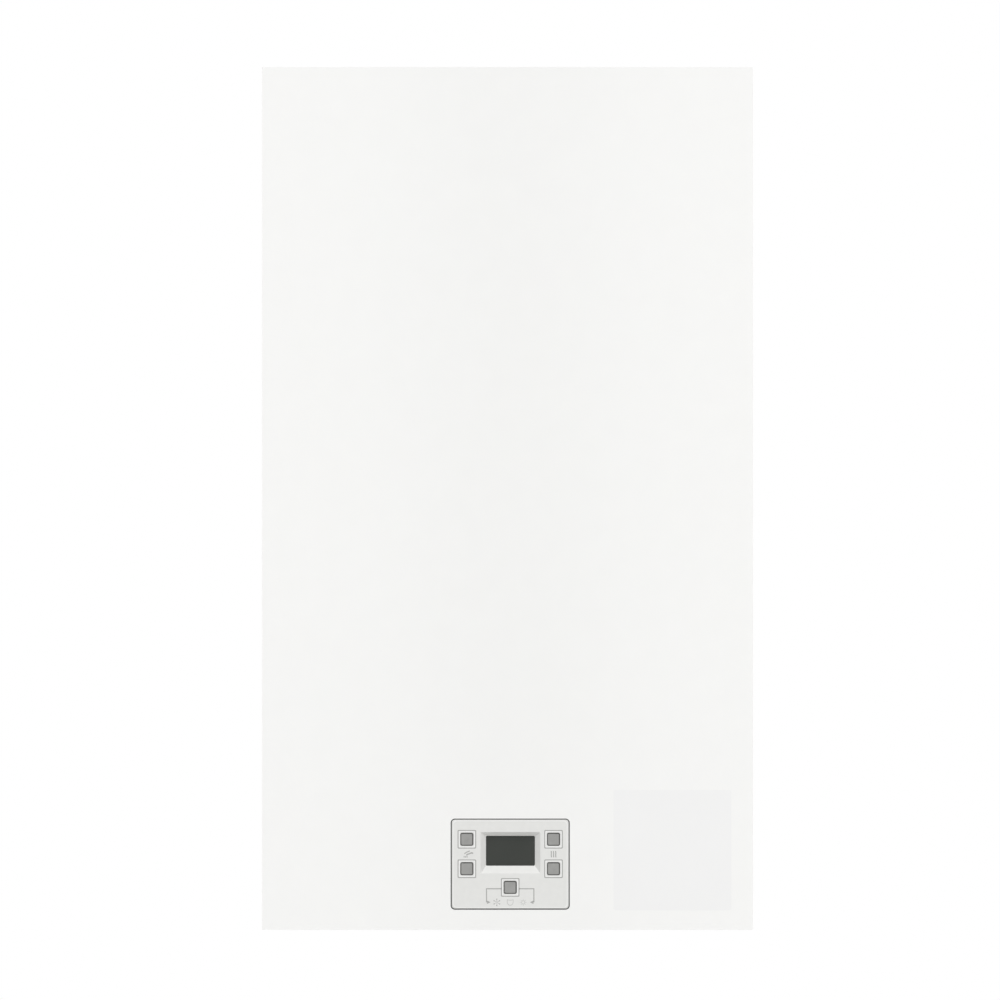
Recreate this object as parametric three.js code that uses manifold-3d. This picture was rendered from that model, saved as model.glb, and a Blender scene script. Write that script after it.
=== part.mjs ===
// Wall-hung combi boiler with a sealed chamber. Millimetres, +Z up, front faces -Y, wall at Y = 0.
// Heights are written from the casing's bottom edge. The last step moves the origin to the
// middle of the hanging line on the wall plane.
import * as THREE from 'three';
import { mergeVertices } from 'three/addons/utils/BufferGeometryUtils.js';
import Module from 'manifold-3d';

const wasm = await Module();
wasm.setup();

// ---------------------------------------------------------------- driving sizes
// casing
const CASING_W = 400;
const CASING_H = 703;
const CASING_D = 299; // wall to the front face
const CASING_T = 1.2;
const CASING_REAR_GAP = 2; // casing's rear edge to the wall
const TOP_FLANGE = 14;
const HEM = 8; // flat fold along the front's bottom edge
const HEM_RISE = 4; // step up from the fold to the screw flange
const SCREW_FLANGE = 21;
// panel window in the casing
const WINDOW_X = 2.2; // its middle, right of the casing's middle
const WINDOW_Z = 53.6;
const WINDOW_W = 97;
const WINDOW_H = 74.2;
const WINDOW_R = 3.4;
// clearances
const FIT = 0.3; // between pieces that touch on the real boiler
const WINDOW_GAP = 0.85; // fascia to the window's edge, all round
// wall frame and bracket
const FRAME_T = 1.5;
const FRAME_RETURN = 112; // depth of the side returns beside the sealed chamber
const FRAME_FOOT_RETURN = 40; // depth of the side returns below it
const HANG_Z = CASING_H - 48; // height of the hanging line
const HANG_X = 120; // hanging slots, from the middle
const HANG_SLOT_W = 12;
const HANG_SLOT_H = 26;
const BRACKET_T = 1.5;
const BRACKET_FRONT = CASING_D - 17; // wall to the bracket's front edge
const BRACKET_LIP = 15;
// pipe tails, left to right: heating flow, hot water, gas, cold water, heating return
const PIPE_PITCH = CASING_W * 0.1625;
const PIPE_Y = -112;
const PIPE_FACE_Z = 2; // height of the tails' end faces
const TAIL_R = 13.2; // G 3/4
const TAIL_BORE_R = 9.2;
const SMALL_TAIL_R = 10.5; // G 1/2
const SMALL_TAIL_BORE_R = 7;
const TAIL_BORE_DEPTH = 24;
const HEX_OVER = 6; // hexagon's corners past its tail
const HEX_H = 9;
const TAIL_GAP = 0.4; // tail to its hole in the bracket
// small things in the bracket
const GLAND_X = -30;
const GLAND_Y = 84 - CASING_D;
const GLAND_R = 9;
const GLAND_BORE_R = 4.5;
const GLAND_FLANGE = 4.6;
const GAUGE_X = -98;
const GAUGE_Y = 94 - CASING_D;
const GAUGE_R = 20;
const FILL_X = 97;
const FILL_Y = -165;
const FILL_KNOB_R = 11;
const SCREW_X = CASING_W / 2 - 20;
const SCREW_Y = 23 - CASING_D;
const SCREW_R = 2;
const SCREW_HEAD_R = 4.5;
const SCREW_HEAD_H = 2.5;
const SCREW_LEN = 13;
// control box
const CBOX_W = CASING_W - 70;
const CBOX_H = 119;
const CBOX_D = 50;
const CBOX_WALL = 2.5;
const CBOX_BOTTOM = 9;
const HINGE_Y = 9 - CASING_D;
const HINGE_Z = 14;
const HINGE_PIN_R = 3;
const HINGE_PIN_L = 5;
const CBOX_SETBACK = 1.5; // box front behind the casing's inner face
const CBOX_EDGE_R = 4;
const CBOX_MOUTH_W = 87; // opening behind the fascia
const CBOX_MOUTH_H = 58;
const FASCIA_PROUD = 0.5;
const FASCIA_T = 2.2;
const FASCIA_SKIRT = 2;
const FASCIA_EDGE = 0.6;
const BOARD_SETBACK = 10.5; // fascia front to the board
const SWITCH_H = 2.2;
const COVER_T = 2;
const COVER_SLOT_W = 3;
const COVER_SLOT_H = 28;
const COVER_SLOT_PITCH = 9;
const COVER_SLOTS = 9;
const BOARD_T = 1.6;
const BOARD_W = CBOX_W - 34;
const BOARD_H = 96;
// display, from the fascia's middle
const LCD_X = 0.2;
const LCD_Z = 10.7;
const LCD_W = 39.9;
const LCD_H = 24.4;
const LCD_BEVEL_SIDE = 4.4;
const LCD_BEVEL_TOP = 3.3;
const LCD_BEVEL_BOTTOM = 6.1;
const LCD_DEPTH = 4.4; // fascia's face to the foot of the bevel
const LCD_WALL = 1.4; // of the hollow's collar
const LCD_FRAME = 3; // module's rim outside its window
// buttons, from the fascia's middle
const BUTTON_SIDE = 9.9;
const BUTTON_R = 1.6;
const BUTTON_SETBACK = 0.4; // cap's face behind the fascia's
const BUTTON_GAP = 0.45; // cap to its hole
const BUTTON_TRAVEL = 0.8;
const BUTTON_COLLAR = 0.9;
const BUTTON_COLLAR_T = 1;
const BUTTON_STEM = 4;
const BUTTON_COLUMN = 35.3;
const BUTTON_UPPER_Z = 20.3;
const BUTTON_LOWER_Z = -3.7;
const MODE_Z = -18.9;

// sealed chamber
const CHAMBER_Z = 250; // its underside
const CHAMBER_T = 1.2;
const CHAMBER_TOP_GAP = 12; // its top below the casing's top
const CHAMBER_BACK = 92; // wall to its back
const CHAMBER_DEPTH = CASING_D - CHAMBER_BACK - 15;
const COVER_PLATE_T = 1.2;
const SEAL_T = 3;
const SEAL_W = 8;
const SIGHT_X = 0;
const SIGHT_Z = 330;
const SIGHT_R = 14;
// expansion vessel
const VESSEL_R = 162;
const VESSEL_Z = (CASING_H + 201) / 2;
const VESSEL_RIM = 8;
const VESSEL_DOME = 36;
// combustion chamber
const FIRE_W = 250;
const FIRE_D = CHAMBER_DEPTH - 32;
const FIRE_H = 100;
const FIRE_T = 1.2;
const FIRE_Z = 290; // its lower edge
const FIRE_BACK_GAP = 18; // sealed chamber's back to its back
const FIBRE_T = 13;
const ELECTRODE_XS = [-70, 70];
const ELECTRODE_Z = 301;
const ELECTRODE_R = 4;
const VESSEL_NECK_X = -60;
// burner
const BLADES = 9;
const BLADE_PITCH = 23;
const BLADE_W = 11;
const BLADE_H = 34;
const BLADE_LEN = FIRE_D - 34;
const BLADE_SLOTS = 4;
const BLADE_SLOT = 3;
const BURNER_RAIL_H = 12;
const NOZZLE_R = 3;
const NOZZLE_L = 9;
const MANIFOLD_SIDE = 15;
const BURNER_BACK_GAP = 16;
const MOUTH_Z = 7; // mixing mouths above the blades' lower edges
const GAS_RISER_X = 64;
// main heat exchanger
const FINS = 10;
const FIN_T = 1.4;
const FIN_PITCH = 21.5;
const FIN_H = 44;
const HX_TUBES = 4;
const HX_TUBE_R = 9;
const HX_TUBE_FLAT = 0.62; // tube's width over its height
const HX_END = 14; // headers past the end fins
const HX_PORT_R = 8;
const HX_PORT_DROP = 30;
// hood and fan
const HOOD_T = 1.2;
const HOOD_H = 34;
const HOOD_NECK_D = 27;
const HOOD_TOP = CASING_H - 67;
const HOOD_NECK_W = 190;
const FAN_X = -66;
const FAN_Z = CASING_H - 143;
const FAN_W = 52;
const FAN_EYE_R = 34;
const WHEEL_R = 60;
const WHEEL_GAP = 6; // wheel to the scroll's tightest place
const SCROLL_GROWTH = 30;
const SCROLL_T = 1.5;
const SPIGOT_R = 29.5;
const BLADE_COUNT = 16;
const SHAFT_R = 3;
const FAN_MOTOR_W = 62;
const FAN_MOTOR_H = 56;
const FAN_MOTOR_D = 46;
// flue socket: 60 inside 100
const FLUE_R = 30.3; // inner socket's bore
const AIR_R = 50.3; // outer socket's bore
const SOCKET_T = 1.5;
const SOCKET_FLANGE_R = 66;
const SOCKET_DROP = 40; // inner socket's reach into the chamber
const SOCKET_SEAL_T = 2;
// air pressure switch
const SWITCH_X = 130;
const SWITCH_Z = CASING_H - 93;
const SWITCH_R = 27;
const SWITCH_D = 22;

// flow group, left
const GROUP_Z = 62; // axis of the cast bodies
const GROUP_R = 15;
const GROUP_END = 20; // cast body past its outer tail's axis
const VALVE_Z = 96; // three-way valve's axis
const VALVE_R = 17;
const VALVE_FRONT = 38; // valve body forward of the pipe line
const SPINDLE_R = 2.5;
const SPINDLE_SHOW = 13; // spindle between the valve and its motor
const SPINDLE_TRAVEL = 7;
const VALVE_MOTOR_D = CASING_D - 241;
const RELIEF_X = 32 - CASING_W / 2;
const RELIEF_R = 11;
const RELIEF_TAIL_R = 8;
const RELIEF_BORE_R = 5;
const RELIEF_KNOB_R = 13;
// plate heat exchanger
const PLATE_HX_W = 190;
const PLATE_HX_H = 72;
const PLATE_HX_D = 44;
const PLATE_HX_Z = 46;
const PLATE_HX_Y = -34; // its back face
const PLATE_PAIRS = 4;
const PLATE_PORT_X = 80;
const PLATE_PORT_RISE = 15;
const PLATE_PORT_R = 10;
const PLATE_PORT_L = 9;
// pump
const PUMP_X = 95;
const PUMP_Z = 170;
const PUMP_BACK = -78;
const PUMP_R = 46;
const PUMP_BODY_D = 44;
const PUMP_CAVITY_R = 39;
const PUMP_CAVITY_D = 30;
const PUMP_WHEEL_R = 35;
const PUMP_VANES = 6;
const PUMP_SHAFT_R = 4;
const PUMP_CAN_R = 42;
const PUMP_CAN_D = CASING_D - 215;
const PUMP_SUCTION_R = 14;
const PUMP_SUCTION_SHIFT = 20; // suction to the right of the pump's axis
const PUMP_OUTLET_X = 130;
const PUMP_OUTLET_Y = -108;
const PUMP_OUTLET_R = 12;
const PUMP_OUTLET_TOP = 212;
const VENT_X = 58;
const VENT_R = 12;
const VENT_TOP = 226;
const VENT_CAP_R = 6;
const VENT_CAP_H = 9;
// gas valve
const GAS_VALVE_X = -8;
const GAS_VALVE_W = 66;
const GAS_VALVE_H = 62;
const GAS_VALVE_D = CASING_D - 239;
const GAS_VALVE_Z = 140;
const GAS_VALVE_BACK = -150;
const GAS_PIPE_R = 9;
// pressure gauge, seen from below
const GAUGE_FACE_Z = 1.5;
const GAUGE_BODY_H = 22;
const GAUGE_RIM = 2.2;
const GAUGE_DEPTH = 5;
const GAUGE_NEEDLE_L = 13;
const GAUGE_PIN_R = 1;
const FILL_KNOB_H = 15;
const FILL_KNOB_Z = 1.5;

// ---------------------------------------------------------------- helpers
// Turns a three.js geometry into a solid whose faces share their corners.
function solid(geometry) {
  const bare = geometry.clone();
  bare.deleteAttribute('normal');
  bare.deleteAttribute('uv');
  const merged = mergeVertices(bare, 1e-4);
  const index = merged.index.array;
  const kept = [];
  for (let i = 0; i < index.length; i += 3) {
    const [a, b, c] = [index[i], index[i + 1], index[i + 2]];
    if (a !== b && b !== c && c !== a) kept.push(a, b, c);
  }
  return new wasm.Manifold(new wasm.Mesh({
    numProp: 3,
    vertProperties: new Float32Array(merged.attributes.position.array),
    triVerts: new Uint32Array(kept),
  }));
}

function join(parts) {
  return parts.reduce((whole, part) => whole.add(part));
}

function cut(whole, holes) {
  return holes.reduce((left, hole) => left.subtract(hole), whole);
}

function block(x0, x1, y0, y1, z0, z1) {
  const geometry = new THREE.BoxGeometry(x1 - x0, y1 - y0, z1 - z0);
  geometry.translate((x0 + x1) / 2, (y0 + y1) / 2, (z0 + z1) / 2);
  return solid(geometry);
}

// Extrudes a flat shape along one axis. Its two directions are the other two axes:
// X and Y for 'z', X and Z for 'y', Y and Z for 'x'.
function extrude(shape, axis, from, to, segments = 4) {
  const geometry = new THREE.ExtrudeGeometry(shape, {
    depth: to - from, bevelEnabled: false, curveSegments: segments,
  });
  if (axis === 'z') geometry.translate(0, 0, from);
  if (axis === 'y') {
    geometry.rotateX(Math.PI / 2);
    geometry.translate(0, to, 0);
  }
  if (axis === 'x') {
    geometry.applyMatrix4(new THREE.Matrix4().makeBasis(
      new THREE.Vector3(0, 1, 0), new THREE.Vector3(0, 0, 1), new THREE.Vector3(1, 0, 0)));
    geometry.translate(from, 0, 0);
  }
  return solid(geometry);
}

function roundRect(u0, u1, v0, v1, radius) {
  const shape = new THREE.Shape();
  shape.moveTo(u0 + radius, v0);
  shape.lineTo(u1 - radius, v0);
  shape.absarc(u1 - radius, v0 + radius, radius, -Math.PI / 2, 0);
  shape.lineTo(u1, v1 - radius);
  shape.absarc(u1 - radius, v1 - radius, radius, 0, Math.PI / 2);
  shape.lineTo(u0 + radius, v1);
  shape.absarc(u0 + radius, v1 - radius, radius, Math.PI / 2, Math.PI);
  shape.lineTo(u0, v0 + radius);
  shape.absarc(u0 + radius, v0 + radius, radius, Math.PI, Math.PI * 1.5);
  return shape;
}

function polygon(points) {
  return new THREE.Shape(points.map(([u, v]) => new THREE.Vector2(u, v)));
}

function ring(count, radius, u = 0, v = 0, turn = 0) {
  return polygon(Array.from({ length: count }, (_, i) => {
    const angle = turn + (i / count) * Math.PI * 2;
    return [u + radius * Math.cos(angle), v + radius * Math.sin(angle)];
  }));
}

// A round bar along one axis, centred at (u, v) in the other two.
function rod(axis, radius, u, v, from, to, sides = 16) {
  return extrude(ring(sides, radius, u, v), axis, from, to);
}

// A turned body about one axis, from [radius, height] pairs that begin and end at radius 0,
// or close on themselves.
function turned(axis, profile, u, v, sides = 24) {
  const points = profile.map(([r, h]) => new THREE.Vector2(r, h));
  const geometry = new THREE.LatheGeometry(points, sides);
  if (axis === 'z') {
    geometry.rotateX(Math.PI / 2);
    geometry.translate(u, v, 0);
  }
  if (axis === 'y') geometry.translate(u, 0, v);
  if (axis === 'x') {
    geometry.rotateZ(-Math.PI / 2);
    geometry.translate(0, u, v);
  }
  const made = solid(geometry);
  return made.volume() < 0 ? solid(flipped(geometry)) : made;
}

function flipped(geometry) {
  const copy = geometry.index ? geometry.toNonIndexed() : geometry.clone();
  const p = copy.attributes.position.array;
  for (let i = 0; i < p.length; i += 9) {
    for (let k = 0; k < 3; k += 1) [p[i + k], p[i + 3 + k]] = [p[i + 3 + k], p[i + k]];
  }
  return copy;
}

// A pipe's centre line: straight runs with round bends, given only at its own stations.
class PipePath extends THREE.Curve {
  constructor(corners, bendRadius, bendSteps) {
    super();
    const points = corners.map((c) => new THREE.Vector3(...c));
    this.stations = [points[0]];
    this.tangents = [points[1].clone().sub(points[0]).normalize()];
    for (let i = 1; i < points.length - 1; i += 1) {
      const before = points[i].clone().sub(points[i - 1]).normalize();
      const after = points[i + 1].clone().sub(points[i]).normalize();
      const angle = before.angleTo(after);
      const reach = bendRadius * Math.tan(angle / 2);
      const inward = after.clone().sub(before).normalize();
      const centre = points[i].clone().addScaledVector(inward, bendRadius / Math.cos(angle / 2));
      const start = points[i].clone().addScaledVector(before, -reach);
      const axis = before.clone().cross(after).normalize();
      for (let k = 0; k <= bendSteps; k += 1) {
        const turn = (angle * k) / bendSteps;
        const arm = start.clone().sub(centre).applyAxisAngle(axis, turn);
        this.stations.push(centre.clone().add(arm));
        this.tangents.push(before.clone().applyAxisAngle(axis, turn));
      }
    }
    const last = points[points.length - 1];
    this.stations.push(last);
    this.tangents.push(last.clone().sub(points[points.length - 2]).normalize());
  }

  get steps() {
    return this.stations.length - 1;
  }

  getPoint(t) {
    const at = t * this.steps;
    const low = Math.min(Math.floor(at), this.steps - 1);
    return this.stations[low].clone().lerp(this.stations[low + 1], at - low);
  }

  getSpacedPoints() {
    return this.stations.map((s) => s.clone());
  }

  getTangentAt(u) {
    return this.tangents[Math.round(u * this.steps)].clone();
  }
}

function pipe(corners, radius, bendRadius, sides = 10, bendSteps = 4) {
  const path = new PipePath(corners, bendRadius, bendSteps);
  const geometry = new THREE.ExtrudeGeometry(ring(sides, radius), {
    extrudePath: path, steps: path.steps, bevelEnabled: false,
  });
  return solid(geometry);
}

const boiler = new THREE.Group();
boiler.position.z = -HANG_Z;

function addPiece(name, shape, look, parent = boiler) {
  const data = shape.getMesh();
  const geometry = new THREE.BufferGeometry();
  geometry.setAttribute('position', new THREE.BufferAttribute(data.vertProperties, 3));
  geometry.setIndex(new THREE.BufferAttribute(data.triVerts, 1));
  const [color, roughness, metalness] = look;
  const mesh = new THREE.Mesh(
    geometry, new THREE.MeshStandardMaterial({ color, roughness, metalness }));
  mesh.name = name;
  parent.add(mesh);
  return mesh;
}

// looks: colour, roughness, metalness
const WHITE_ENAMEL = [0xf5f5f5, 0.35, 0];
const GALVANISED = [0xb4b8ba, 0.45, 0.9];
const ZINC_SCREW = [0xc4c6c6, 0.35, 0.9];
const GREY_FASCIA = [0xe5e5e5, 0.5, 0];
const GREY_BUTTON = [0x9d9d9b, 0.55, 0];
const DARK_PLASTIC = [0x55585b, 0.6, 0];
const DISPLAY = [0x414440, 0.2, 0];
const BOARD_GREEN = [0x2f6b3c, 0.5, 0];

const BLACK_RUBBER = [0x222324, 0.8, 0];
const CLEAR_GLASS = [0xdfe8ea, 0.05, 0];
const RED_ENAMEL = [0xa3201d, 0.4, 0];
const DULL_STEEL = [0x9a9c9b, 0.5, 0.8];
const ALUMINISED = [0xc2c5c6, 0.4, 0.9];
const STAINLESS = [0xb9b6b0, 0.3, 1];
const FIBRE = [0xefe9dd, 0.95, 0];
const BRASS = [0xb9975b, 0.4, 0.9];
const BLACK_PAINT = [0x2a2c2e, 0.5, 0.2];
const RED_KNOB = [0xb3262a, 0.5, 0];
const WHITE_CERAMIC = [0xf2efe8, 0.3, 0];
const COPPER = [0xb87146, 0.35, 1];
const MOTOR_STEEL = [0x6e7173, 0.5, 0.7];

// ---------------------------------------------------------------- shared levels
const SIDE_IN = CASING_W / 2 - CASING_T; // casing side's inner face
const FRAME_HALF = SIDE_IN - FIT;
const FRONT_IN = -CASING_D + CASING_T; // casing front's inner face
const FLANGE_TOP = HEM_RISE + CASING_T;
const BRACKET_Z = FLANGE_TOP + FIT; // bracket's underside
const BRACKET_TOP = BRACKET_Z + BRACKET_T;
const FRAME_TOP = CASING_H - CASING_T - FIT;
const RETURN_INNER = FRAME_HALF - FRAME_T;
const CBOX_FRONT = FRONT_IN + CBOX_SETBACK;
const CBOX_BACK = CBOX_FRONT + CBOX_D;
const CBOX_TOP = CBOX_BOTTOM + CBOX_H;
const FASCIA_FRONT = -CASING_D - FASCIA_PROUD;
const FASCIA_BACK = CBOX_FRONT - FIT;
const BOARD_Y = FASCIA_FRONT + BOARD_SETBACK; // board's front face
const COLLAR_Y = FASCIA_FRONT + FASCIA_T + FIT; // front of the button collars
const EAR_X = CBOX_W / 2 + FIT; // hinge ears' inner faces
const BUTTONS = [
  ['hot_water_plus', -BUTTON_COLUMN, BUTTON_UPPER_Z],
  ['hot_water_minus', -BUTTON_COLUMN, BUTTON_LOWER_Z],
  ['heating_plus', BUTTON_COLUMN, BUTTON_UPPER_Z],
  ['heating_minus', BUTTON_COLUMN, BUTTON_LOWER_Z],
  ['mode_button', 0, MODE_Z],
].map(([name, x, z]) => ({ name, x: WINDOW_X + x, z: WINDOW_Z + z }));
const TAILS = {
  flow: { x: -2 * PIPE_PITCH, r: TAIL_R, bore: TAIL_BORE_R },
  hot: { x: -PIPE_PITCH, r: SMALL_TAIL_R, bore: SMALL_TAIL_BORE_R },
  gas: { x: 0, r: TAIL_R, bore: TAIL_BORE_R },
  cold: { x: PIPE_PITCH, r: SMALL_TAIL_R, bore: SMALL_TAIL_BORE_R },
  back: { x: 2 * PIPE_PITCH, r: TAIL_R, bore: TAIL_BORE_R },
};

// ---------------------------------------------------------------- casing
// One folded sheet: front, two sides, a top flange all round and a stepped screw flange below.
function frontCasing() {
  const half = CASING_W / 2;
  const outer = block(-half, half, -CASING_D, -CASING_REAR_GAP, 0, CASING_H);
  const inner = block(-SIDE_IN, SIDE_IN, FRONT_IN, 1, -1, CASING_H - CASING_T);
  const mouth = block(-SIDE_IN + TOP_FLANGE, SIDE_IN - TOP_FLANGE,
    -CASING_D + TOP_FLANGE, 1, CASING_H - CASING_T - 1, CASING_H + 1);
  const shell = cut(outer, [inner, mouth]);
  const fold = HEM;
  const step = block(-SIDE_IN, SIDE_IN, FRONT_IN - 0.1, -CASING_D + fold, 0, CASING_T);
  const riser = block(-SIDE_IN, SIDE_IN,
    -CASING_D + fold - CASING_T, -CASING_D + fold, 0, FLANGE_TOP);
  const flange = block(-SIDE_IN, SIDE_IN,
    -CASING_D + fold - CASING_T, -CASING_D + fold + SCREW_FLANGE, HEM_RISE, FLANGE_TOP);
  const slots = [-1, 1].map((side) => {
    const width = SCREW_R + 0.75;
    const run = block(side * SCREW_X - width, side * SCREW_X + width,
      SCREW_Y, -CASING_D + fold + SCREW_FLANGE + 1, HEM_RISE - 1, FLANGE_TOP + 1);
    const end = rod('z', width, side * SCREW_X, SCREW_Y, HEM_RISE - 1, FLANGE_TOP + 1, 12);
    return run.add(end);
  });
  const lip = cut(join([step, riser, flange]), slots);
  const windowShape = roundRect(WINDOW_X - WINDOW_W / 2, WINDOW_X + WINDOW_W / 2,
    WINDOW_Z - WINDOW_H / 2, WINDOW_Z + WINDOW_H / 2, WINDOW_R);
  const window = extrude(windowShape, 'y', -CASING_D - 1, FRONT_IN + 1);
  return cut(shell.add(lip), [window]);
}

function casingScrew(side) {
  const headTop = HEM_RISE - FIT;
  const profile = [[0, headTop - SCREW_HEAD_H], [SCREW_HEAD_R - 1, headTop - SCREW_HEAD_H],
    [SCREW_HEAD_R, headTop - SCREW_HEAD_H / 2], [SCREW_HEAD_R, headTop],
    [SCREW_R, headTop], [SCREW_R, headTop + SCREW_LEN - 1.2], [SCREW_R - 0.9, headTop + SCREW_LEN],
    [0, headTop + SCREW_LEN]];
  return turned('z', profile, side * SCREW_X, SCREW_Y, 12);
}

addPiece('front_casing', frontCasing(), WHITE_ENAMEL);
addPiece('casing_screw_left', casingScrew(-1), ZINC_SCREW);
addPiece('casing_screw_right', casingScrew(1), ZINC_SCREW);

// ---------------------------------------------------------------- wall frame and bracket
// A galvanised pan: back plate, side returns, a top return, hanging slots and fixing holes.
function wallFrame() {
  const back = block(-FRAME_HALF, FRAME_HALF, -FRAME_T, 0, BRACKET_Z, FRAME_TOP);
  const top = block(-FRAME_HALF, FRAME_HALF, -FRAME_FOOT_RETURN, 0, FRAME_TOP - FRAME_T, FRAME_TOP);
  const sides = [-1, 1].map((side) => {
    const outline = polygon([[0, BRACKET_Z], [-FRAME_FOOT_RETURN, BRACKET_Z],
      [-FRAME_FOOT_RETURN, CHAMBER_Z - 60], [-FRAME_RETURN, CHAMBER_Z],
      [-FRAME_RETURN, FRAME_TOP], [0, FRAME_TOP]]);
    const x0 = side > 0 ? RETURN_INNER : -FRAME_HALF;
    return extrude(outline, 'x', x0, x0 + FRAME_T);
  });
  const slots = [-1, 1].map((side) => extrude(roundRect(
    side * HANG_X - HANG_SLOT_W / 2, side * HANG_X + HANG_SLOT_W / 2,
    HANG_Z - HANG_SLOT_H / 2, HANG_Z + HANG_SLOT_H / 2, HANG_SLOT_W / 2 - 0.1),
  'y', -FRAME_T - 1, 1));
  const holes = [-1, 1].flatMap((side) => [60, 190].map((z) => rod(
    'y', 5, side * 170, z, -FRAME_T - 1, 1, 12)));
  return cut(join([back, top, ...sides]), [...slots, ...holes]);
}

addPiece('wall_frame', wallFrame(), GALVANISED);

// The folded plate under the boiler that carries the pipe tails and the control box's hinge.
function bottomBracket() {
  const half = RETURN_INNER - FIT;
  const rear = -FRAME_T - FIT;
  const plate = block(-half, half, -BRACKET_FRONT, rear, BRACKET_Z, BRACKET_TOP);
  const lips = [-1, 1].map((side) => {
    const x0 = side > 0 ? half - BRACKET_T : -half;
    return block(x0, x0 + BRACKET_T, -BRACKET_FRONT, rear, BRACKET_Z, BRACKET_Z + BRACKET_LIP);
  });
  const rearLip = block(-half, half, rear - BRACKET_T, rear, BRACKET_Z, BRACKET_Z + BRACKET_LIP);
  const ears = [-1, 1].flatMap((side) => {
    const x0 = side > 0 ? EAR_X : -EAR_X - BRACKET_T;
    const outline = new THREE.Shape();
    const top = HINGE_Z;
    outline.moveTo(-BRACKET_FRONT + 14, BRACKET_Z);
    outline.lineTo(-BRACKET_FRONT + 14, BRACKET_TOP);
    outline.lineTo(HINGE_Y + 7, top);
    outline.absarc(HINGE_Y, top, 7, 0, Math.PI);
    outline.lineTo(HINGE_Y - 7, BRACKET_Z + 3);
    outline.lineTo(HINGE_Y - 4, BRACKET_Z);
    const pinEnd = side * (EAR_X - HINGE_PIN_L);
    const pinStart = side * (EAR_X + BRACKET_T / 2);
    return [extrude(outline, 'x', x0, x0 + BRACKET_T),
      rod('x', HINGE_PIN_R, HINGE_Y, HINGE_Z, Math.min(pinEnd, pinStart), Math.max(pinEnd, pinStart), 12)];
  });
  const low = BRACKET_Z - 1;
  const high = BRACKET_TOP + 1;
  const squared = (x, y, halfX, halfY) => block(x - halfX, x + halfX, y - halfY, y + halfY, low, high);
  const row = TAIL_R + TAIL_GAP;
  const holes = Object.values(TAILS).map((t) => squared(t.x, PIPE_Y, t.r + TAIL_GAP, row));
  holes.push(squared(RELIEF_X, PIPE_Y, RELIEF_TAIL_R + TAIL_GAP, row));
  holes.push(squared(GLAND_X, GLAND_Y, GLAND_R + TAIL_GAP, GLAND_R + TAIL_GAP));
  holes.push(rod('z', GAUGE_R + TAIL_GAP, GAUGE_X, GAUGE_Y, low, high, 16));
  holes.push(squared(FILL_X, FILL_Y, FILL_KNOB_R + 1.5, FILL_KNOB_R + 1.5));
  const tapped = [-1, 1].map((side) => rod('z', SCREW_R + FIT, side * SCREW_X, SCREW_Y, low, high, 12));
  return cut(join([plate, ...lips, rearLip, ...ears]), [...holes, ...tapped]);
}

// Rubber grommet for the supply cord, with a flange on each side of the plate.
function cordGland() {
  const flange = GLAND_R + GLAND_FLANGE;
  const under = BRACKET_Z - FIT;
  const over = BRACKET_TOP + FIT;
  return turned('z', [[GLAND_BORE_R, under - 2], [flange - 1, under - 2], [flange, under],
    [GLAND_R, under], [GLAND_R, over], [flange - 1, over], [flange - 2, over + 2],
    [GLAND_BORE_R + 1, over + 7], [GLAND_BORE_R, over + 7], [GLAND_BORE_R, under - 2]],
  GLAND_X, GLAND_Y, 12);
}

addPiece('bottom_bracket', bottomBracket(), GALVANISED);
addPiece('cord_gland', cordGland(), DARK_PLASTIC);

// ---------------------------------------------------------------- control box
// A moulded tray, open behind, that tips forward on two pins at its front lower edge.
function controlBox() {
  const half = CBOX_W / 2;
  const outer = extrude(roundRect(-half, half, CBOX_BOTTOM, CBOX_TOP, CBOX_EDGE_R),
    'y', CBOX_FRONT, CBOX_BACK, 2);
  const inner = extrude(roundRect(-half + CBOX_WALL, half - CBOX_WALL, CBOX_BOTTOM + CBOX_WALL,
    CBOX_TOP - CBOX_WALL, CBOX_EDGE_R - CBOX_WALL), 'y', CBOX_FRONT + CBOX_WALL, CBOX_BACK + 1, 2);
  const mouth = block(WINDOW_X - CBOX_MOUTH_W / 2, WINDOW_X + CBOX_MOUTH_W / 2,
    CBOX_FRONT - 1, CBOX_FRONT + CBOX_WALL + 1,
    WINDOW_Z - CBOX_MOUTH_H / 2, WINDOW_Z + CBOX_MOUTH_H / 2);
  const pivots = [-1, 1].map((side) => {
    const start = side * (half + 1);
    const end = side * (EAR_X - HINGE_PIN_L - FIT);
    return rod('x', HINGE_PIN_R + FIT, HINGE_Y, HINGE_Z, Math.min(start, end), Math.max(start, end), 12);
  });
  // thick bosses round the pin holes, and the posts that carry the board
  const bosses = [-1, 1].map((side) => {
    const x0 = side > 0 ? half - HINGE_PIN_L - CBOX_WALL : -half;
    return block(x0, x0 + HINGE_PIN_L + CBOX_WALL, CBOX_FRONT, HINGE_Y + 6, CBOX_BOTTOM, HINGE_Z + 6);
  });
  const posts = boardCorners().map(([x, z]) => rod(
    'y', 3.5, x, z, CBOX_FRONT + CBOX_WALL / 2, BOARD_Y - FIT, 10));
  const shell = cut(outer, [inner, mouth]);
  return cut(join([shell, ...bosses.map((b) => b.intersect(outer)), ...posts]), pivots);
}

function boardCorners() {
  const middle = CBOX_BOTTOM + CBOX_H / 2;
  return [-1, 1].flatMap((i) => [-1, 1].map((k) => [
    i * (BOARD_W / 2 - 6), middle + k * (BOARD_H / 2 - 6)]));
}

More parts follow.
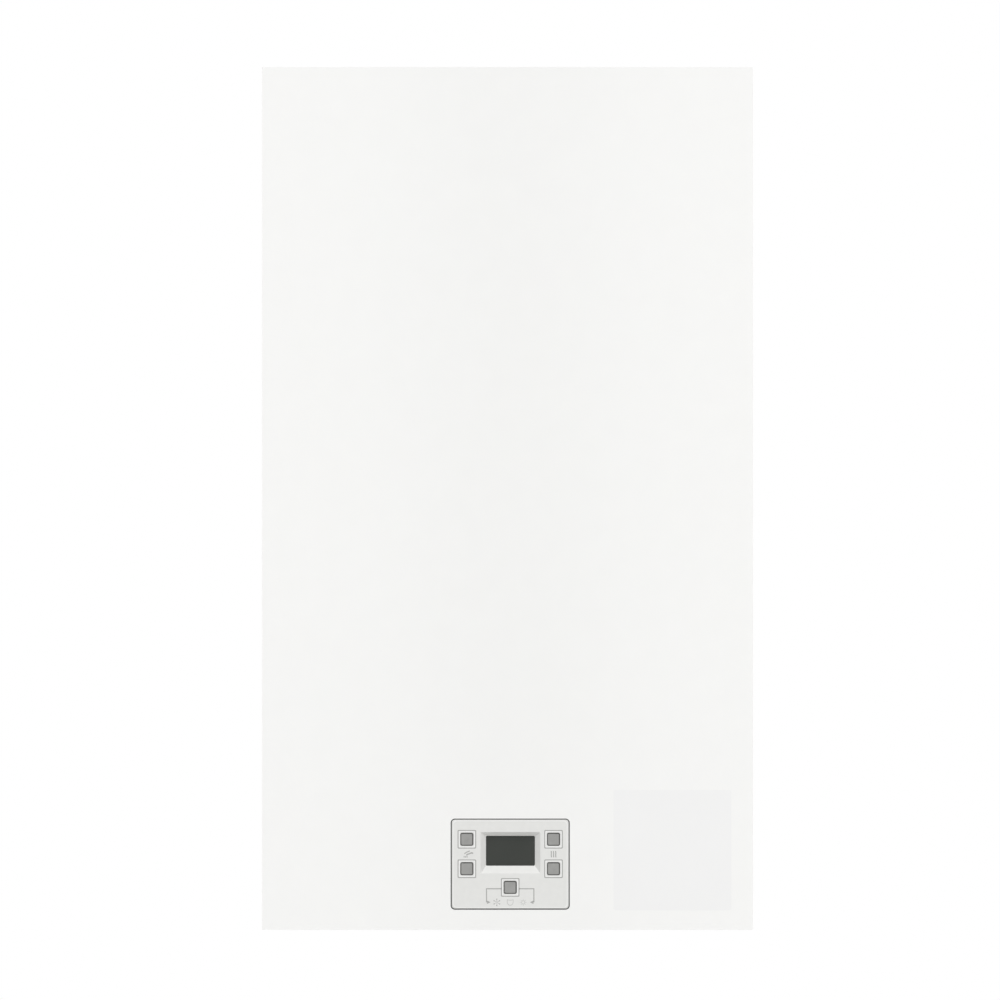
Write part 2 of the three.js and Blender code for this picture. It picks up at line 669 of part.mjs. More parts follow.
// Back cover with ventilation slots, a stiffening frame and a cable notch at the bottom left.
function controlCover() {
  const half = CBOX_W / 2;
  const y0 = CBOX_BACK + FIT;
  const plate = extrude(roundRect(-half, half, CBOX_BOTTOM, CBOX_TOP, CBOX_EDGE_R),
    'y', y0, y0 + COVER_T, 2);
  const inset = CBOX_WALL + FIT;
  const lipOuter = roundRect(-half + inset, half - inset, CBOX_BOTTOM + inset, CBOX_TOP - inset, 1);
  lipOuter.holes.push(roundRect(-half + inset + 1.6, half - inset - 1.6,
    CBOX_BOTTOM + inset + 1.6, CBOX_TOP - inset - 1.6, 0.8));
  const lip = extrude(lipOuter, 'y', y0 - 4, y0 + COVER_T / 2, 1);
  const middle = CBOX_BOTTOM + CBOX_H / 2;
  const slots = [];
  for (let i = 0; i < COVER_SLOTS; i += 1) {
    const x = (i - (COVER_SLOTS - 1) / 2) * COVER_SLOT_PITCH;
    slots.push(block(x - COVER_SLOT_W / 2, x + COVER_SLOT_W / 2, y0 - 1, y0 + COVER_T + 1,
      middle - COVER_SLOT_H / 2, middle + COVER_SLOT_H / 2));
  }
  const notch = block(GLAND_X - 12, GLAND_X + 12, y0 - 5, y0 + COVER_T + 1,
    CBOX_BOTTOM - 1, CBOX_BOTTOM + 14);
  return cut(plate.add(lip), [...slots, notch]);
}

function fascia() {
  const x0 = WINDOW_X - WINDOW_W / 2 + WINDOW_GAP;
  const x1 = WINDOW_X + WINDOW_W / 2 - WINDOW_GAP;
  const z0 = WINDOW_Z - WINDOW_H / 2 + WINDOW_GAP;
  const z1 = WINDOW_Z + WINDOW_H / 2 - WINDOW_GAP;
  const radius = WINDOW_R - WINDOW_GAP;
  const edge = FASCIA_EDGE;
  const crowned = new THREE.ExtrudeGeometry(
    roundRect(x0 + edge, x1 - edge, z0 + edge, z1 - edge, radius - edge), {
      depth: 20, curveSegments: 3, bevelEnabled: true, bevelThickness: edge, bevelSize: edge,
      bevelSegments: 1,
    });
  crowned.rotateX(Math.PI / 2);
  crowned.translate(0, FASCIA_FRONT + edge + 20, 0);
  const behind = block(x0 - 1, x1 + 1, FASCIA_BACK, FASCIA_BACK + 40, z0 - 1, z1 + 1);
  const skirt = FASCIA_SKIRT;
  const hollow = extrude(roundRect(x0 + skirt, x1 - skirt, z0 + skirt, z1 - skirt, 0.5),
    'y', FASCIA_FRONT + FASCIA_T, FASCIA_BACK + 1, 1);
  const lcdX = WINDOW_X + LCD_X;
  const lcdZ = WINDOW_Z + LCD_Z;
  const sight = extrude(roundRect(lcdX - LCD_W / 2, lcdX + LCD_W / 2, lcdZ - LCD_H / 2,
    lcdZ + LCD_H / 2, 1), 'y', FASCIA_FRONT - 1, FASCIA_FRONT + LCD_DEPTH + 1, 2);
  const wide = (grow) => [lcdX - LCD_W / 2 - LCD_BEVEL_SIDE - grow,
    lcdX + LCD_W / 2 + LCD_BEVEL_SIDE + grow, lcdZ - LCD_H / 2 - LCD_BEVEL_BOTTOM - grow,
    lcdZ + LCD_H / 2 + LCD_BEVEL_TOP + grow];
  const narrow = (grow) => [lcdX - LCD_W / 2 - grow, lcdX + LCD_W / 2 + grow,
    lcdZ - LCD_H / 2 - grow, lcdZ + LCD_H / 2 + grow];
  const foot = FASCIA_FRONT + LCD_DEPTH;
  const bevel = frustum(wide(0), FASCIA_FRONT - 0.01, narrow(0), foot - 0.4);
  const collar = frustum(wide(LCD_WALL), FASCIA_FRONT + FASCIA_T / 2, narrow(LCD_WALL), foot);
  const half = BUTTON_SIDE / 2 + BUTTON_GAP;
  const buttonHoles = BUTTONS.map((b) => extrude(roundRect(
    b.x - half, b.x + half, b.z - half, b.z + half, BUTTON_R),
  'y', FASCIA_FRONT - 1, FASCIA_BACK + 1, 2));
  const plate = cut(solid(crowned), [behind, hollow]);
  return cut(plate.add(collar), [sight, bevel, ...buttonHoles]);
}

// A four-sided taper along Y between two rectangles [x0, x1, z0, z1].
function frustum(front, yFront, back, yBack) {
  const geometry = new THREE.BoxGeometry(2, 2, 2);
  const p = geometry.attributes.position;
  for (let i = 0; i < p.count; i += 1) {
    const rect = p.getY(i) < 0 ? front : back;
    p.setXYZ(i, p.getX(i) < 0 ? rect[0] : rect[1], p.getY(i) < 0 ? yFront : yBack,
      p.getZ(i) < 0 ? rect[2] : rect[3]);
  }
  return solid(geometry);
}

function displayModule() {
  const front = FASCIA_FRONT + LCD_DEPTH + FIT;
  const lcdX = WINDOW_X + LCD_X;
  const lcdZ = WINDOW_Z + LCD_Z;
  const glass = extrude(roundRect(lcdX - LCD_W / 2 - LCD_FRAME, lcdX + LCD_W / 2 + LCD_FRAME,
    lcdZ - LCD_H / 2 - LCD_FRAME, lcdZ + LCD_H / 2 + LCD_FRAME, 1), 'y', front, front + 2.4, 2);
  const back = block(lcdX - LCD_W / 2 - 1, lcdX + LCD_W / 2 + 1, front + 2, BOARD_Y - FIT,
    lcdZ - LCD_H / 2 - 1, lcdZ + LCD_H / 2 + 1);
  return glass.add(back);
}

function button(x, z) {
  const half = BUTTON_SIDE / 2;
  const edge = 0.5;
  const capGeometry = new THREE.ExtrudeGeometry(
    roundRect(x - half + edge, x + half - edge, z - half + edge, z + half - edge, BUTTON_R - edge), {
      depth: 10, curveSegments: 2, bevelEnabled: true, bevelThickness: edge, bevelSize: edge,
      bevelSegments: 1,
    });
  capGeometry.rotateX(Math.PI / 2);
  capGeometry.translate(0, FASCIA_FRONT + BUTTON_SETBACK + edge + 10, 0);
  const cap = solid(capGeometry).subtract(
    block(x - 10, x + 10, COLLAR_Y + BUTTON_COLLAR_T, COLLAR_Y + 30, z - 10, z + 10));
  const wide = half + FIT + BUTTON_COLLAR;
  const collar = block(x - wide, x + wide, COLLAR_Y, COLLAR_Y + BUTTON_COLLAR_T, z - wide, z + wide);
  const stemEnd = BOARD_Y - SWITCH_H - FIT - BUTTON_TRAVEL;
  const stem = rod('y', BUTTON_STEM / 2, x, z, COLLAR_Y, stemEnd, 10);
  return join([cap, collar, stem]);
}

function circuitBoard() {
  const half = BOARD_W / 2;
  const middle = CBOX_BOTTOM + CBOX_H / 2;
  const back = BOARD_Y + BOARD_T;
  const plate = block(-half, half, BOARD_Y, back, middle - BOARD_H / 2, middle + BOARD_H / 2);
  const switches = BUTTONS.map((b) => rod('y', 1.8, b.x, b.z, BOARD_Y - SWITCH_H, BOARD_Y + 0.5, 8));
  // transformer with its core, relays, terminal strips, smoothing capacitors
  const onBack = (x, z, w, h, d) => block(x - w / 2, x + w / 2, back - 0.5, back + d, z - h / 2, z + h / 2);
  const tall = [onBack(30 - half, middle + 16, 40, 34, 26), onBack(30 - half, middle + 16, 26, 46, 20)];
  const relays = [0, 1, 2, 3].map((i) => onBack(-72 + i * 22, middle + 30, 16, 20, 16));
  const strips = [0, 1, 2, 3, 4].map((i) => onBack(-122 + i * 38, middle - 36, 30, 12, 14));
  const caps = [[40, 26, 8, 24], [62, 26, 6, 18], [80, 30, 6, 18]].map(([x, z, r, h]) => rod(
    'y', r, x, middle + z, back - 0.5, back + h, 12));
  const chip = onBack(70, middle - 6, 18, 18, 2.5);
  const fuse = onBack(half - 30, middle + 28, 24, 8, 9);
  const coil = rod('y', 11, half - 28, middle - 14, back - 0.5, back + 14, 14);
  return join([plate, ...switches, ...tall, ...relays, ...strips, ...caps, chip, fuse, coil]);
}

addPiece('control_box', controlBox(), DARK_PLASTIC);
addPiece('control_cover', controlCover(), DARK_PLASTIC);
addPiece('fascia', fascia(), GREY_FASCIA);
addPiece('display_module', displayModule(), DISPLAY);
addPiece('circuit_board', circuitBoard(), BOARD_GREEN);
BUTTONS.forEach((b) => addPiece(b.name, button(b.x, b.z), GREY_BUTTON));

// ---------------------------------------------------------------- sealed chamber
const CHAMBER_HALF = RETURN_INNER - FIT;
const CHAMBER_TOP = CASING_H - CHAMBER_TOP_GAP;
const CHAMBER_Y0 = -CHAMBER_BACK - CHAMBER_DEPTH; // its open front
const CHAMBER_Y1 = -CHAMBER_BACK;
const BACK_IN = CHAMBER_Y1 - CHAMBER_T; // inner face of its back
const FLOOR = CHAMBER_Z + CHAMBER_T;
const CEILING = CHAMBER_TOP - CHAMBER_T;
const FIRE_Y1 = BACK_IN - FIRE_BACK_GAP;
const FIRE_Y0 = FIRE_Y1 - FIRE_D;
const FIRE_TOP = FIRE_Z + FIRE_H;
const FIRE_MID = (FIRE_Y0 + FIRE_Y1) / 2;
const HX_Z = FIRE_TOP + FIT;
const HX_TOP = HX_Z + FIN_H;
const HOOD_Z = HX_TOP + FIT;
const FAN_BACK = BACK_IN - HOOD_NECK_D - 2 * FIT; // scroll's back plate
const FAN_FRONT = FAN_BACK - FAN_W;
const FLUE_Y = (FAN_BACK + FAN_FRONT) / 2;
const SCROLL_R = WHEEL_R + WHEEL_GAP;
const OUTLET_X = FAN_X + SCROLL_R + SCROLL_GROWTH / 2 - SPIGOT_R + 4;
const FLUE_X = OUTLET_X;
const FLOW_RISER = { x: -CHAMBER_HALF + 42, y: FIRE_MID };
const BACK_RISER = { x: CHAMBER_HALF - 42, y: FIRE_MID };
const RISER_R = 9;
const RISER_GAP = 1.2;
const BURNER_Y1 = FIRE_Y1 - BURNER_BACK_GAP;
const BURNER_LOW = FIRE_Z - FIT - BLADE_H;
const MANIFOLD_BACK = BURNER_Y1 - BLADE_LEN - FIT - NOZZLE_L;
const MANIFOLD_Z = BURNER_LOW + MOUTH_Z - MANIFOLD_SIDE / 2;
const GAS_RISER = { x: GAS_RISER_X, y: MANIFOLD_BACK - MANIFOLD_SIDE / 2, r: 8 };

function chamberBox() {
  const half = CHAMBER_HALF;
  const outer = block(-half, half, CHAMBER_Y0, CHAMBER_Y1, CHAMBER_Z, CHAMBER_TOP);
  const inner = block(-half + CHAMBER_T, half - CHAMBER_T, CHAMBER_Y0 - 1, BACK_IN, FLOOR, CEILING);
  // inward lip round the open front
  const lipOuter = roundRect(-half + 0.1, half - 0.1, CHAMBER_Z + 0.1, CHAMBER_TOP - 0.1, 0.5);
  lipOuter.holes.push(roundRect(-half + SEAL_W + 4, half - SEAL_W - 4, CHAMBER_Z + SEAL_W + 4,
    CHAMBER_TOP - SEAL_W - 4, 4));
  const lip = extrude(lipOuter, 'y', CHAMBER_Y0, CHAMBER_Y0 + CHAMBER_T, 2);
  const airHole = rod('z', AIR_R, FLUE_X, FLUE_Y, CEILING - 1, CHAMBER_TOP + 1, 24);
  const low = CHAMBER_Z - 1;
  const risers = [FLOW_RISER, BACK_RISER].map((r) => rod(
    'z', RISER_R + RISER_GAP, r.x, r.y, low, FLOOR + 1));
  const gas = rod('z', GAS_RISER.r + RISER_GAP, GAS_RISER.x, GAS_RISER.y, low, FLOOR + 1);
  return cut(outer.subtract(inner).add(lip), [airHole, ...risers, gas]);
}

function chamberSeal() {
  const half = CHAMBER_HALF;
  const outline = roundRect(-half + 2, half - 2, CHAMBER_Z + 2, CHAMBER_TOP - 2, 4);
  outline.holes.push(roundRect(-half + 2 + SEAL_W, half - 2 - SEAL_W, CHAMBER_Z + 2 + SEAL_W,
    CHAMBER_TOP - 2 - SEAL_W, 4));
  const y1 = CHAMBER_Y0 - FIT;
  return extrude(outline, 'y', y1 - SEAL_T, y1, 3);
}

// Pressed cover: a flat rim, a raised field, and the hole of the sight glass.
function chamberCover() {
  const half = CHAMBER_HALF;
  const y1 = CHAMBER_Y0 - FIT - SEAL_T - FIT;
  const y0 = y1 - COVER_PLATE_T;
  const rim = extrude(roundRect(-half, half, CHAMBER_Z, CHAMBER_TOP, 6), 'y', y0, y1, 2);
  const turn = block(-half + 1, half - 1, y0, y1 + 5, CHAMBER_Z - FIT - COVER_PLATE_T,
    CHAMBER_Z - FIT);
  const ribs = [-1, 1].map((side) => extrude(roundRect(side * 90 - 6, side * 90 + 6,
    CHAMBER_Z + 60, CHAMBER_TOP - 60, 5.9), 'y', y0 - 2, y0 + 0.2, 2));
  const boss = rod('y', SIGHT_R + 5, SIGHT_X, SIGHT_Z, y0 - 2, y1, 16);
  const bridge = block(-half + 1, half - 1, y0, y1, CHAMBER_Z - FIT - COVER_PLATE_T, CHAMBER_Z + 7);
  const sight = rod('y', SIGHT_R + FIT, SIGHT_X, SIGHT_Z, y0 - 3, y1 + 1, 16);
  const rebate = rod('y', SIGHT_R + 3, SIGHT_X, SIGHT_Z, y0 + COVER_PLATE_T / 2, y1 + 1, 16);
  return cut(join([rim, turn, bridge, ...ribs, boss]), [sight, rebate]);
}

function sightGlass() {
  const y1 = CHAMBER_Y0 - FIT - SEAL_T - FIT;
  const y0 = y1 - COVER_PLATE_T;
  const rebate = y0 + COVER_PLATE_T / 2 + FIT;
  return turned('y', [[0, y0 - 2], [SIGHT_R - 0.6, y0 - 2], [SIGHT_R, y0 - 1.4], [SIGHT_R, rebate],
    [SIGHT_R + 3 - FIT, rebate], [SIGHT_R + 3 - FIT, y1 + 1.5], [0, y1 + 1.5]],
  SIGHT_X, SIGHT_Z, 16);
}

addPiece('chamber_box', chamberBox(), GALVANISED);
addPiece('chamber_seal', chamberSeal(), BLACK_RUBBER);
addPiece('chamber_cover', chamberCover(), GALVANISED);
addPiece('sight_glass', sightGlass(), CLEAR_GLASS);

// Flat round vessel: two domed halves crimped at a rim, with its air valve and water neck.
function expansionVessel() {
  const middle = (-FRAME_T - FIT - CHAMBER_BACK + FIT) / 2;
  const reach = (CHAMBER_BACK - FRAME_T) / 2 - 2 * FIT; // half its thickness
  const flank = reach - VESSEL_DOME;
  const profile = [[0, middle - reach]];
  for (let i = 1; i <= 4; i += 1) {
    const a = (i / 4) * (Math.PI / 2);
    profile.push([(VESSEL_R - 60) + 60 * Math.sin(a), middle - flank - VESSEL_DOME * Math.cos(a)]);
  }
  profile.push([VESSEL_R, middle - 5], [VESSEL_R + VESSEL_RIM, middle - 4],
    [VESSEL_R + VESSEL_RIM, middle + 4], [VESSEL_R, middle + 5]);
  for (let i = 4; i >= 1; i -= 1) {
    const a = (i / 4) * (Math.PI / 2);
    profile.push([(VESSEL_R - 60) + 60 * Math.sin(a), middle + flank + VESSEL_DOME * Math.cos(a)]);
  }
  profile.push([0, middle + reach]);
  const body = turned('y', profile, 0, VESSEL_Z, 22);
  const bottom = VESSEL_Z - VESSEL_R;
  const neck = rod('z', 9, VESSEL_NECK_X, middle, bottom - 22, bottom + 30, 12);
  const nut = rod('z', 13, VESSEL_NECK_X, middle, bottom - 22, bottom - 8, 6);
  return join([body, neck, nut]);
}

addPiece('expansion_vessel', expansionVessel(), RED_ENAMEL);

// ---------------------------------------------------------------- combustion chamber
// Three-sided aluminised shell, open above, below and in front, with out-turned top edges.
function combustionShell() {
  const half = FIRE_W / 2;
  const profile = polygon([[-half, FIRE_Y0], [-half, FIRE_Y1], [half, FIRE_Y1], [half, FIRE_Y0],
    [half - FIRE_T, FIRE_Y0], [half - FIRE_T, FIRE_Y1 - FIRE_T], [-half + FIRE_T, FIRE_Y1 - FIRE_T],
    [-half + FIRE_T, FIRE_Y0]]);
  const walls = extrude(profile, 'z', FIRE_Z, FIRE_TOP);
  const backFeet = [-1, 1].map((side) => block(side * 80 - 10, side * 80 + 10, FIRE_Y1 - FIRE_T,
    BACK_IN - FIT, FIRE_Z + 20, FIRE_Z + 20 + FIRE_T));
  const shelf = [-1, 1].map((side) => {
    const x0 = side > 0 ? half - FIRE_T - 8 : -half;
    return block(x0, x0 + FIRE_T + 8, FIRE_Y0, FIRE_Y1, FIRE_Z, FIRE_Z + FIRE_T);
  });
  return join([walls, ...backFeet, ...shelf]);
}

function combustionFront() {
  const half = FIRE_W / 2;
  const y1 = FIRE_Y0 - FIT;
  const plate = extrude(roundRect(-half - 4, half + 4, FIRE_Z, FIRE_TOP, 3), 'y', y1 - FIRE_T, y1, 2);
  const rib = extrude(roundRect(-half + 20, half - 20, FIRE_Z + 34, FIRE_Z + 44, 4.9), 'y',
    y1 - FIRE_T - 2, y1 - FIRE_T / 2, 2);
  const peep = rod('y', SIGHT_R - 4, SIGHT_X, SIGHT_Z, y1 - 8, y1 + 2, 16);
  const holes = ELECTRODE_XS.map((x) => rod('y', ELECTRODE_R + FIT, x, ELECTRODE_Z, y1 - 8, y1 + 2, 10));
  return cut(join([plate, rib]), [peep, ...holes]);
}

function fibrePanel(x0, x1, y0, y1) {
  return block(x0, x1, y0, y1, FIRE_Z + FIRE_T + FIT, FIRE_TOP - 1);
}

// One vacuum-formed lining for the back and both sides, open to the front.
function fibreLining() {
  const y0 = FIRE_Y0 + FIT + FIBRE_T + FIT;
  const whole = fibrePanel(-FIRE_IN, FIRE_IN, y0, FIBRE_Y1);
  const room = fibrePanel(-FIRE_IN + FIBRE_T, FIRE_IN - FIBRE_T, y0 - 1, FIBRE_Y1 - FIBRE_T);
  return whole.subtract(room.translate([0, 0, 1])).subtract(room.translate([0, 0, -1]));
}

function frontFibre() {
  const half = FIRE_W / 2 - FIRE_T - FIT;
  const y0 = FIRE_Y0 + FIT;
  const panel = fibrePanel(-half, half, y0, y0 + FIBRE_T);
  const peep = rod('y', SIGHT_R - 4, SIGHT_X, SIGHT_Z, y0 - 1, y0 + FIBRE_T + 1, 16);
  const holes = ELECTRODE_XS.map((x) => rod('y', ELECTRODE_R + FIT, x, ELECTRODE_Z, y0 - 1,
    y0 + FIBRE_T + 1, 10));
  return cut(panel, [peep, ...holes]);
}

const FIRE_IN = FIRE_W / 2 - FIRE_T - FIT;
const FIBRE_Y1 = FIRE_Y1 - FIRE_T - FIT;
addPiece('combustion_chamber', combustionShell(), DULL_STEEL);
addPiece('combustion_front', combustionFront(), DULL_STEEL);
addPiece('fibre_lining', fibreLining(), FIBRE);
addPiece('fibre_front', frontFibre(), FIBRE);

// ---------------------------------------------------------------- burner
// Hollow slotted blades side by side in a rack that stands on the chamber's floor.
function burner() {
  const low = BURNER_LOW;
  const top = low + BLADE_H;
  const y1 = BURNER_Y1;
  const y0 = y1 - BLADE_LEN;
  const pieces = [];
  const holes = [];
  for (let i = 0; i < BLADES; i += 1) {
    const x = (i - (BLADES - 1) / 2) * BLADE_PITCH;
    const w = BLADE_W / 2;
    const outline = polygon([[x - w * 0.7, low], [x + w * 0.7, low], [x + w, low + 9],
      [x + w * 0.45, low + 19], [x + w * 0.6, top],
      [x - w * 0.6, top], [x - w * 0.45, low + 19], [x - w, low + 9]]);
    pieces.push(extrude(outline, 'y', y0, y1));
    holes.push(rod('y', w - 1.2, x, low + MOUTH_Z, y0 - 1, y0 + 12, 6)); // mixing mouth
    for (let k = 0; k < BLADE_SLOTS; k += 1) {
      const y = y0 + ((k + 0.5) * BLADE_LEN) / BLADE_SLOTS;
      holes.push(block(x - w * 0.25, x + w * 0.25, y - BLADE_SLOT * 1.5, y + BLADE_SLOT * 1.5,
        top - 4, top + 1));
    }
  }
  const half = ((BLADES - 1) / 2) * BLADE_PITCH + BLADE_W / 2 + 3;
  const rails = [y0 + 8, y1 - 4].map((y) => block(-half, half, y, y + 1.6, low - 3,
    low + BURNER_RAIL_H));
  const feet = [-1, 1].map((side) => {
    const x0 = side > 0 ? half - 2 : -half;
    return block(x0, x0 + 2, y0 + 8, y1 - 2.4, FLOOR + FIT, low + BURNER_RAIL_H);
  });
  return cut(join([...pieces, ...rails, ...feet]), holes);
}

// Square rail along the burner's front with one nozzle for each blade.
function burnerManifold() {
  const y1 = MANIFOLD_BACK;
  const half = ((BLADES - 1) / 2) * BLADE_PITCH + 12;
  const z0 = MANIFOLD_Z;
  const rail = extrude(roundRect(y1 - MANIFOLD_SIDE, y1, z0, z0 + MANIFOLD_SIDE, 2), 'x', -half, half, 2);
  const nozzles = [];
  for (let i = 0; i < BLADES; i += 1) {
    const x = (i - (BLADES - 1) / 2) * BLADE_PITCH;
    nozzles.push(rod('y', NOZZLE_R, x, z0 + MANIFOLD_SIDE / 2, y1 - 1, y1 + NOZZLE_L, 6));
  }
  const inlet = rod('z', GAS_RISER.r + 3, GAS_RISER.x, y1 - MANIFOLD_SIDE / 2, z0 - 3, z0 + 1, 12);
  return join([rail, ...nozzles, inlet]);
}

function electrode(x) {
  const y1 = FIRE_Y0 - FIT;
  const profile = [[0, y1 - 16], [2.2, y1 - 16], [ELECTRODE_R - 1, y1 - 12], [ELECTRODE_R - 1, y1 - 4],
    [ELECTRODE_R + 1.5, y1 - 3], [ELECTRODE_R + 1.5, y1 - FIRE_T - FIT],
    [ELECTRODE_R, y1 - FIRE_T - FIT], [ELECTRODE_R, y1 + 18], [1.2, y1 + 20], [1.2, y1 + 34], [0, y1 + 34]];
  return turned('y', profile, x, ELECTRODE_Z, 10);
}

addPiece('burner', burner(), STAINLESS);
addPiece('burner_manifold', burnerManifold(), DULL_STEEL);
addPiece('ignition_electrode', electrode(ELECTRODE_XS[0]), WHITE_CERAMIC);
addPiece('flame_electrode', electrode(ELECTRODE_XS[1]), WHITE_CERAMIC);

// ---------------------------------------------------------------- main heat exchanger
// Copper fins threaded on flattened tubes, which end bends and two side ports join up.
function heatExchanger() {
  const width = (FINS - 1) * FIN_PITCH + FIN_T;
  const y0 = FIRE_Y0 + 6;
  const y1 = FIRE_Y1 - 6;
  const tubeY = Array.from({ length: HX_TUBES }, (_, i) => y0 + ((i + 0.5) * (y1 - y0)) / HX_TUBES);
  const tubeZ = HX_Z + FIN_H / 2;
  const finShape = new THREE.Shape();
  finShape.moveTo(y0, HX_Z);
  finShape.lineTo(y1, HX_Z);
  finShape.lineTo(y1, HX_TOP - 8);
  for (let i = HX_TUBES - 1; i >= 0; i -= 1) {
    finShape.lineTo(tubeY[i] + 8, HX_TOP);
    finShape.lineTo(tubeY[i] - 8, HX_TOP);
    if (i > 0) finShape.lineTo((tubeY[i] + tubeY[i - 1]) / 2, HX_TOP - 10);
  }
  finShape.lineTo(y0, HX_TOP - 8);
  const parts = [];
  for (let i = 0; i < FINS; i += 1) {
    const x = -width / 2 + i * FIN_PITCH;
    parts.push(extrude(finShape, 'x', x, x + FIN_T));
  }
  const end = width / 2 + HX_END;
  const ovals = tubeY.map((y) => {
    const points = Array.from({ length: 6 }, (_, i) => {
      const a = ((i + 0.5) / 6) * Math.PI * 2;
      return [y + HX_TUBE_R * HX_TUBE_FLAT * Math.cos(a), tubeZ + HX_TUBE_R * Math.sin(a)];
    });
    return extrude(polygon(points), 'x', -end, end);
  });
  // end headers join neighbouring tubes in pairs, so the water runs to and fro
  const headers = [-1, 1].flatMap((side) => {
    const pairs = side > 0 ? [[1, 2]] : [[0, 1], [2, 3]];
    const x0 = side > 0 ? end - 8 : -end;
    return pairs.map(([a, b]) => extrude(roundRect(tubeY[a] - 8, tubeY[b] + 8, tubeZ - 11, tubeZ + 11, 7),
      'x', x0, x0 + 8, 2));
  });
  const ports = [FLOW_RISER, BACK_RISER].map((riser, i) => {
    const y = tubeY[i === 0 ? 0 : HX_TUBES - 1];
    const startX = i === 0 ? -end + 4 : end - 4;
    return pipe([[startX, y, tubeZ], [riser.x, y, tubeZ], [riser.x, riser.y, tubeZ],
      [riser.x, riser.y, tubeZ - HX_PORT_DROP]], HX_PORT_R, 12, 8, 3);
  });
  return join([...parts, ...ovals, ...headers, ...ports]);
}

addPiece('main_heat_exchanger', heatExchanger(), COPPER);

// ---------------------------------------------------------------- hood and fan
// Sheet hood: a taper over the exchanger that runs up into a shallow neck behind the fan.
function flueHood() {
  const half = FIRE_W / 2 - 2;
  const y0 = FIRE_Y0 + 2;
  const y1 = FIRE_Y1 - 2;
  const neckBack = BACK_IN - FIT;
  const neckFront = neckBack - HOOD_NECK_D + FIT;
  const outer = hoodForm(half, y0, y1, neckFront, neckBack, HOOD_Z, 0);
  const inner = hoodForm(half, y0, y1, neckFront, neckBack, HOOD_Z, HOOD_T);
  const eye = rod('y', FAN_EYE_R + 2, FAN_X, FAN_Z, neckFront - 1, neckFront + HOOD_T + 1, 24);
  return cut(outer, [inner, eye]);
}

function hoodForm(half, y0, y1, neckFront, neckBack, z0, wall) {
  const neckHalf = HOOD_NECK_W / 2 + Math.abs(FAN_X) / 2;
  const low = wall > 0 ? z0 - 1 : z0;
  const skirt = block(-half + wall, half - wall, y0 + wall, y1 - wall, low, z0 + 8);
  const bend = frustumZ([-half + wall, half - wall, y0 + wall, y1 - wall], z0 + 8,
    [-neckHalf - 8 + wall, neckHalf - 70 - wall, neckFront + wall, neckBack - wall], z0 + HOOD_H);
  const neck = block(-neckHalf - 8 + wall, neckHalf - 70 - wall, neckFront + wall, neckBack - wall,
    z0 + HOOD_H, HOOD_TOP - wall);
  return join([skirt, bend, neck]);
}

// A four-sided taper along Z between two rectangles [x0, x1, y0, y1].
function frustumZ(lower, z0, upper, z1) {
  const geometry = new THREE.BoxGeometry(2, 2, 2);
  const p = geometry.attributes.position;
  for (let i = 0; i < p.count; i += 1) {
    const rect = p.getZ(i) < 0 ? lower : upper;
    p.setXYZ(i, p.getX(i) < 0 ? rect[0] : rect[1], p.getY(i) < 0 ? rect[2] : rect[3],
      p.getZ(i) < 0 ? z0 : z1);
  }
  return solid(geometry);
}

// The scroll widens steadily round the wheel and leaves straight up as a rectangular throat.
function scrollOutline(inset) {
  const shape = new THREE.Shape();
  const throatIn = OUTLET_X - SPIGOT_R + inset;
  const throatOut = FAN_X + SCROLL_R + SCROLL_GROWTH - inset;
  const top = FAN_Z + SCROLL_R + 20;
  const steps = 20;
  const sweep = Math.PI * 1.72;
  shape.moveTo(throatOut, top);
  for (let i = 0; i <= steps; i += 1) {
    const a = -(i / steps) * sweep;
    const r = SCROLL_R + SCROLL_GROWTH * (1 - i / steps) - inset;
    shape.lineTo(FAN_X + r * Math.cos(a), FAN_Z + r * Math.sin(a));
  }
  shape.lineTo(throatIn, FAN_Z + SCROLL_R - 2);
  shape.lineTo(throatIn, top);
  return shape;
}

function fanScroll() {
  const outer = extrude(scrollOutline(0), 'y', FAN_FRONT, FAN_BACK);
  const inner = extrude(scrollOutline(SCROLL_T), 'y', FAN_FRONT + SCROLL_T, FAN_BACK - SCROLL_T);
  const top = FAN_Z + SCROLL_R + 20;
  const throatIn = OUTLET_X - SPIGOT_R;
  const throatOut = FAN_X + SCROLL_R + SCROLL_GROWTH;
  const shoulder = block(throatIn, throatOut, FAN_FRONT, FAN_BACK, top - 0.1, top + 4);
  const spigotTop = CHAMBER_TOP - SOCKET_DROP + 12;
  const spigot = rod('z', SPIGOT_R - 1, FLUE_X, FLUE_Y, top, spigotTop, 24);
  const bore = rod('z', SPIGOT_R - 3, FLUE_X, FLUE_Y, top - 6, spigotTop + 1, 24);
  const throat = block(throatIn + SCROLL_T, throatOut - SCROLL_T, FAN_FRONT + SCROLL_T,
    FAN_BACK - SCROLL_T, FAN_Z + 20, top + 4 - SCROLL_T);
  const keep = block(throatIn + SCROLL_T, throatOut - SCROLL_T, FAN_FRONT, FAN_BACK,
    top - 20, top + 4 - SCROLL_T);
  const eye = rod('y', FAN_EYE_R, FAN_X, FAN_Z, FAN_BACK - SCROLL_T - 1, FAN_BACK + 1, 28);
  const shaft = rod('y', SHAFT_R + FIT, FAN_X, FAN_Z, FAN_FRONT - 1, FAN_FRONT + SCROLL_T + 1, 12);
  return cut(join([outer, shoulder, spigot]), [inner, throat.intersect(keep), bore, eye, shaft]);
}

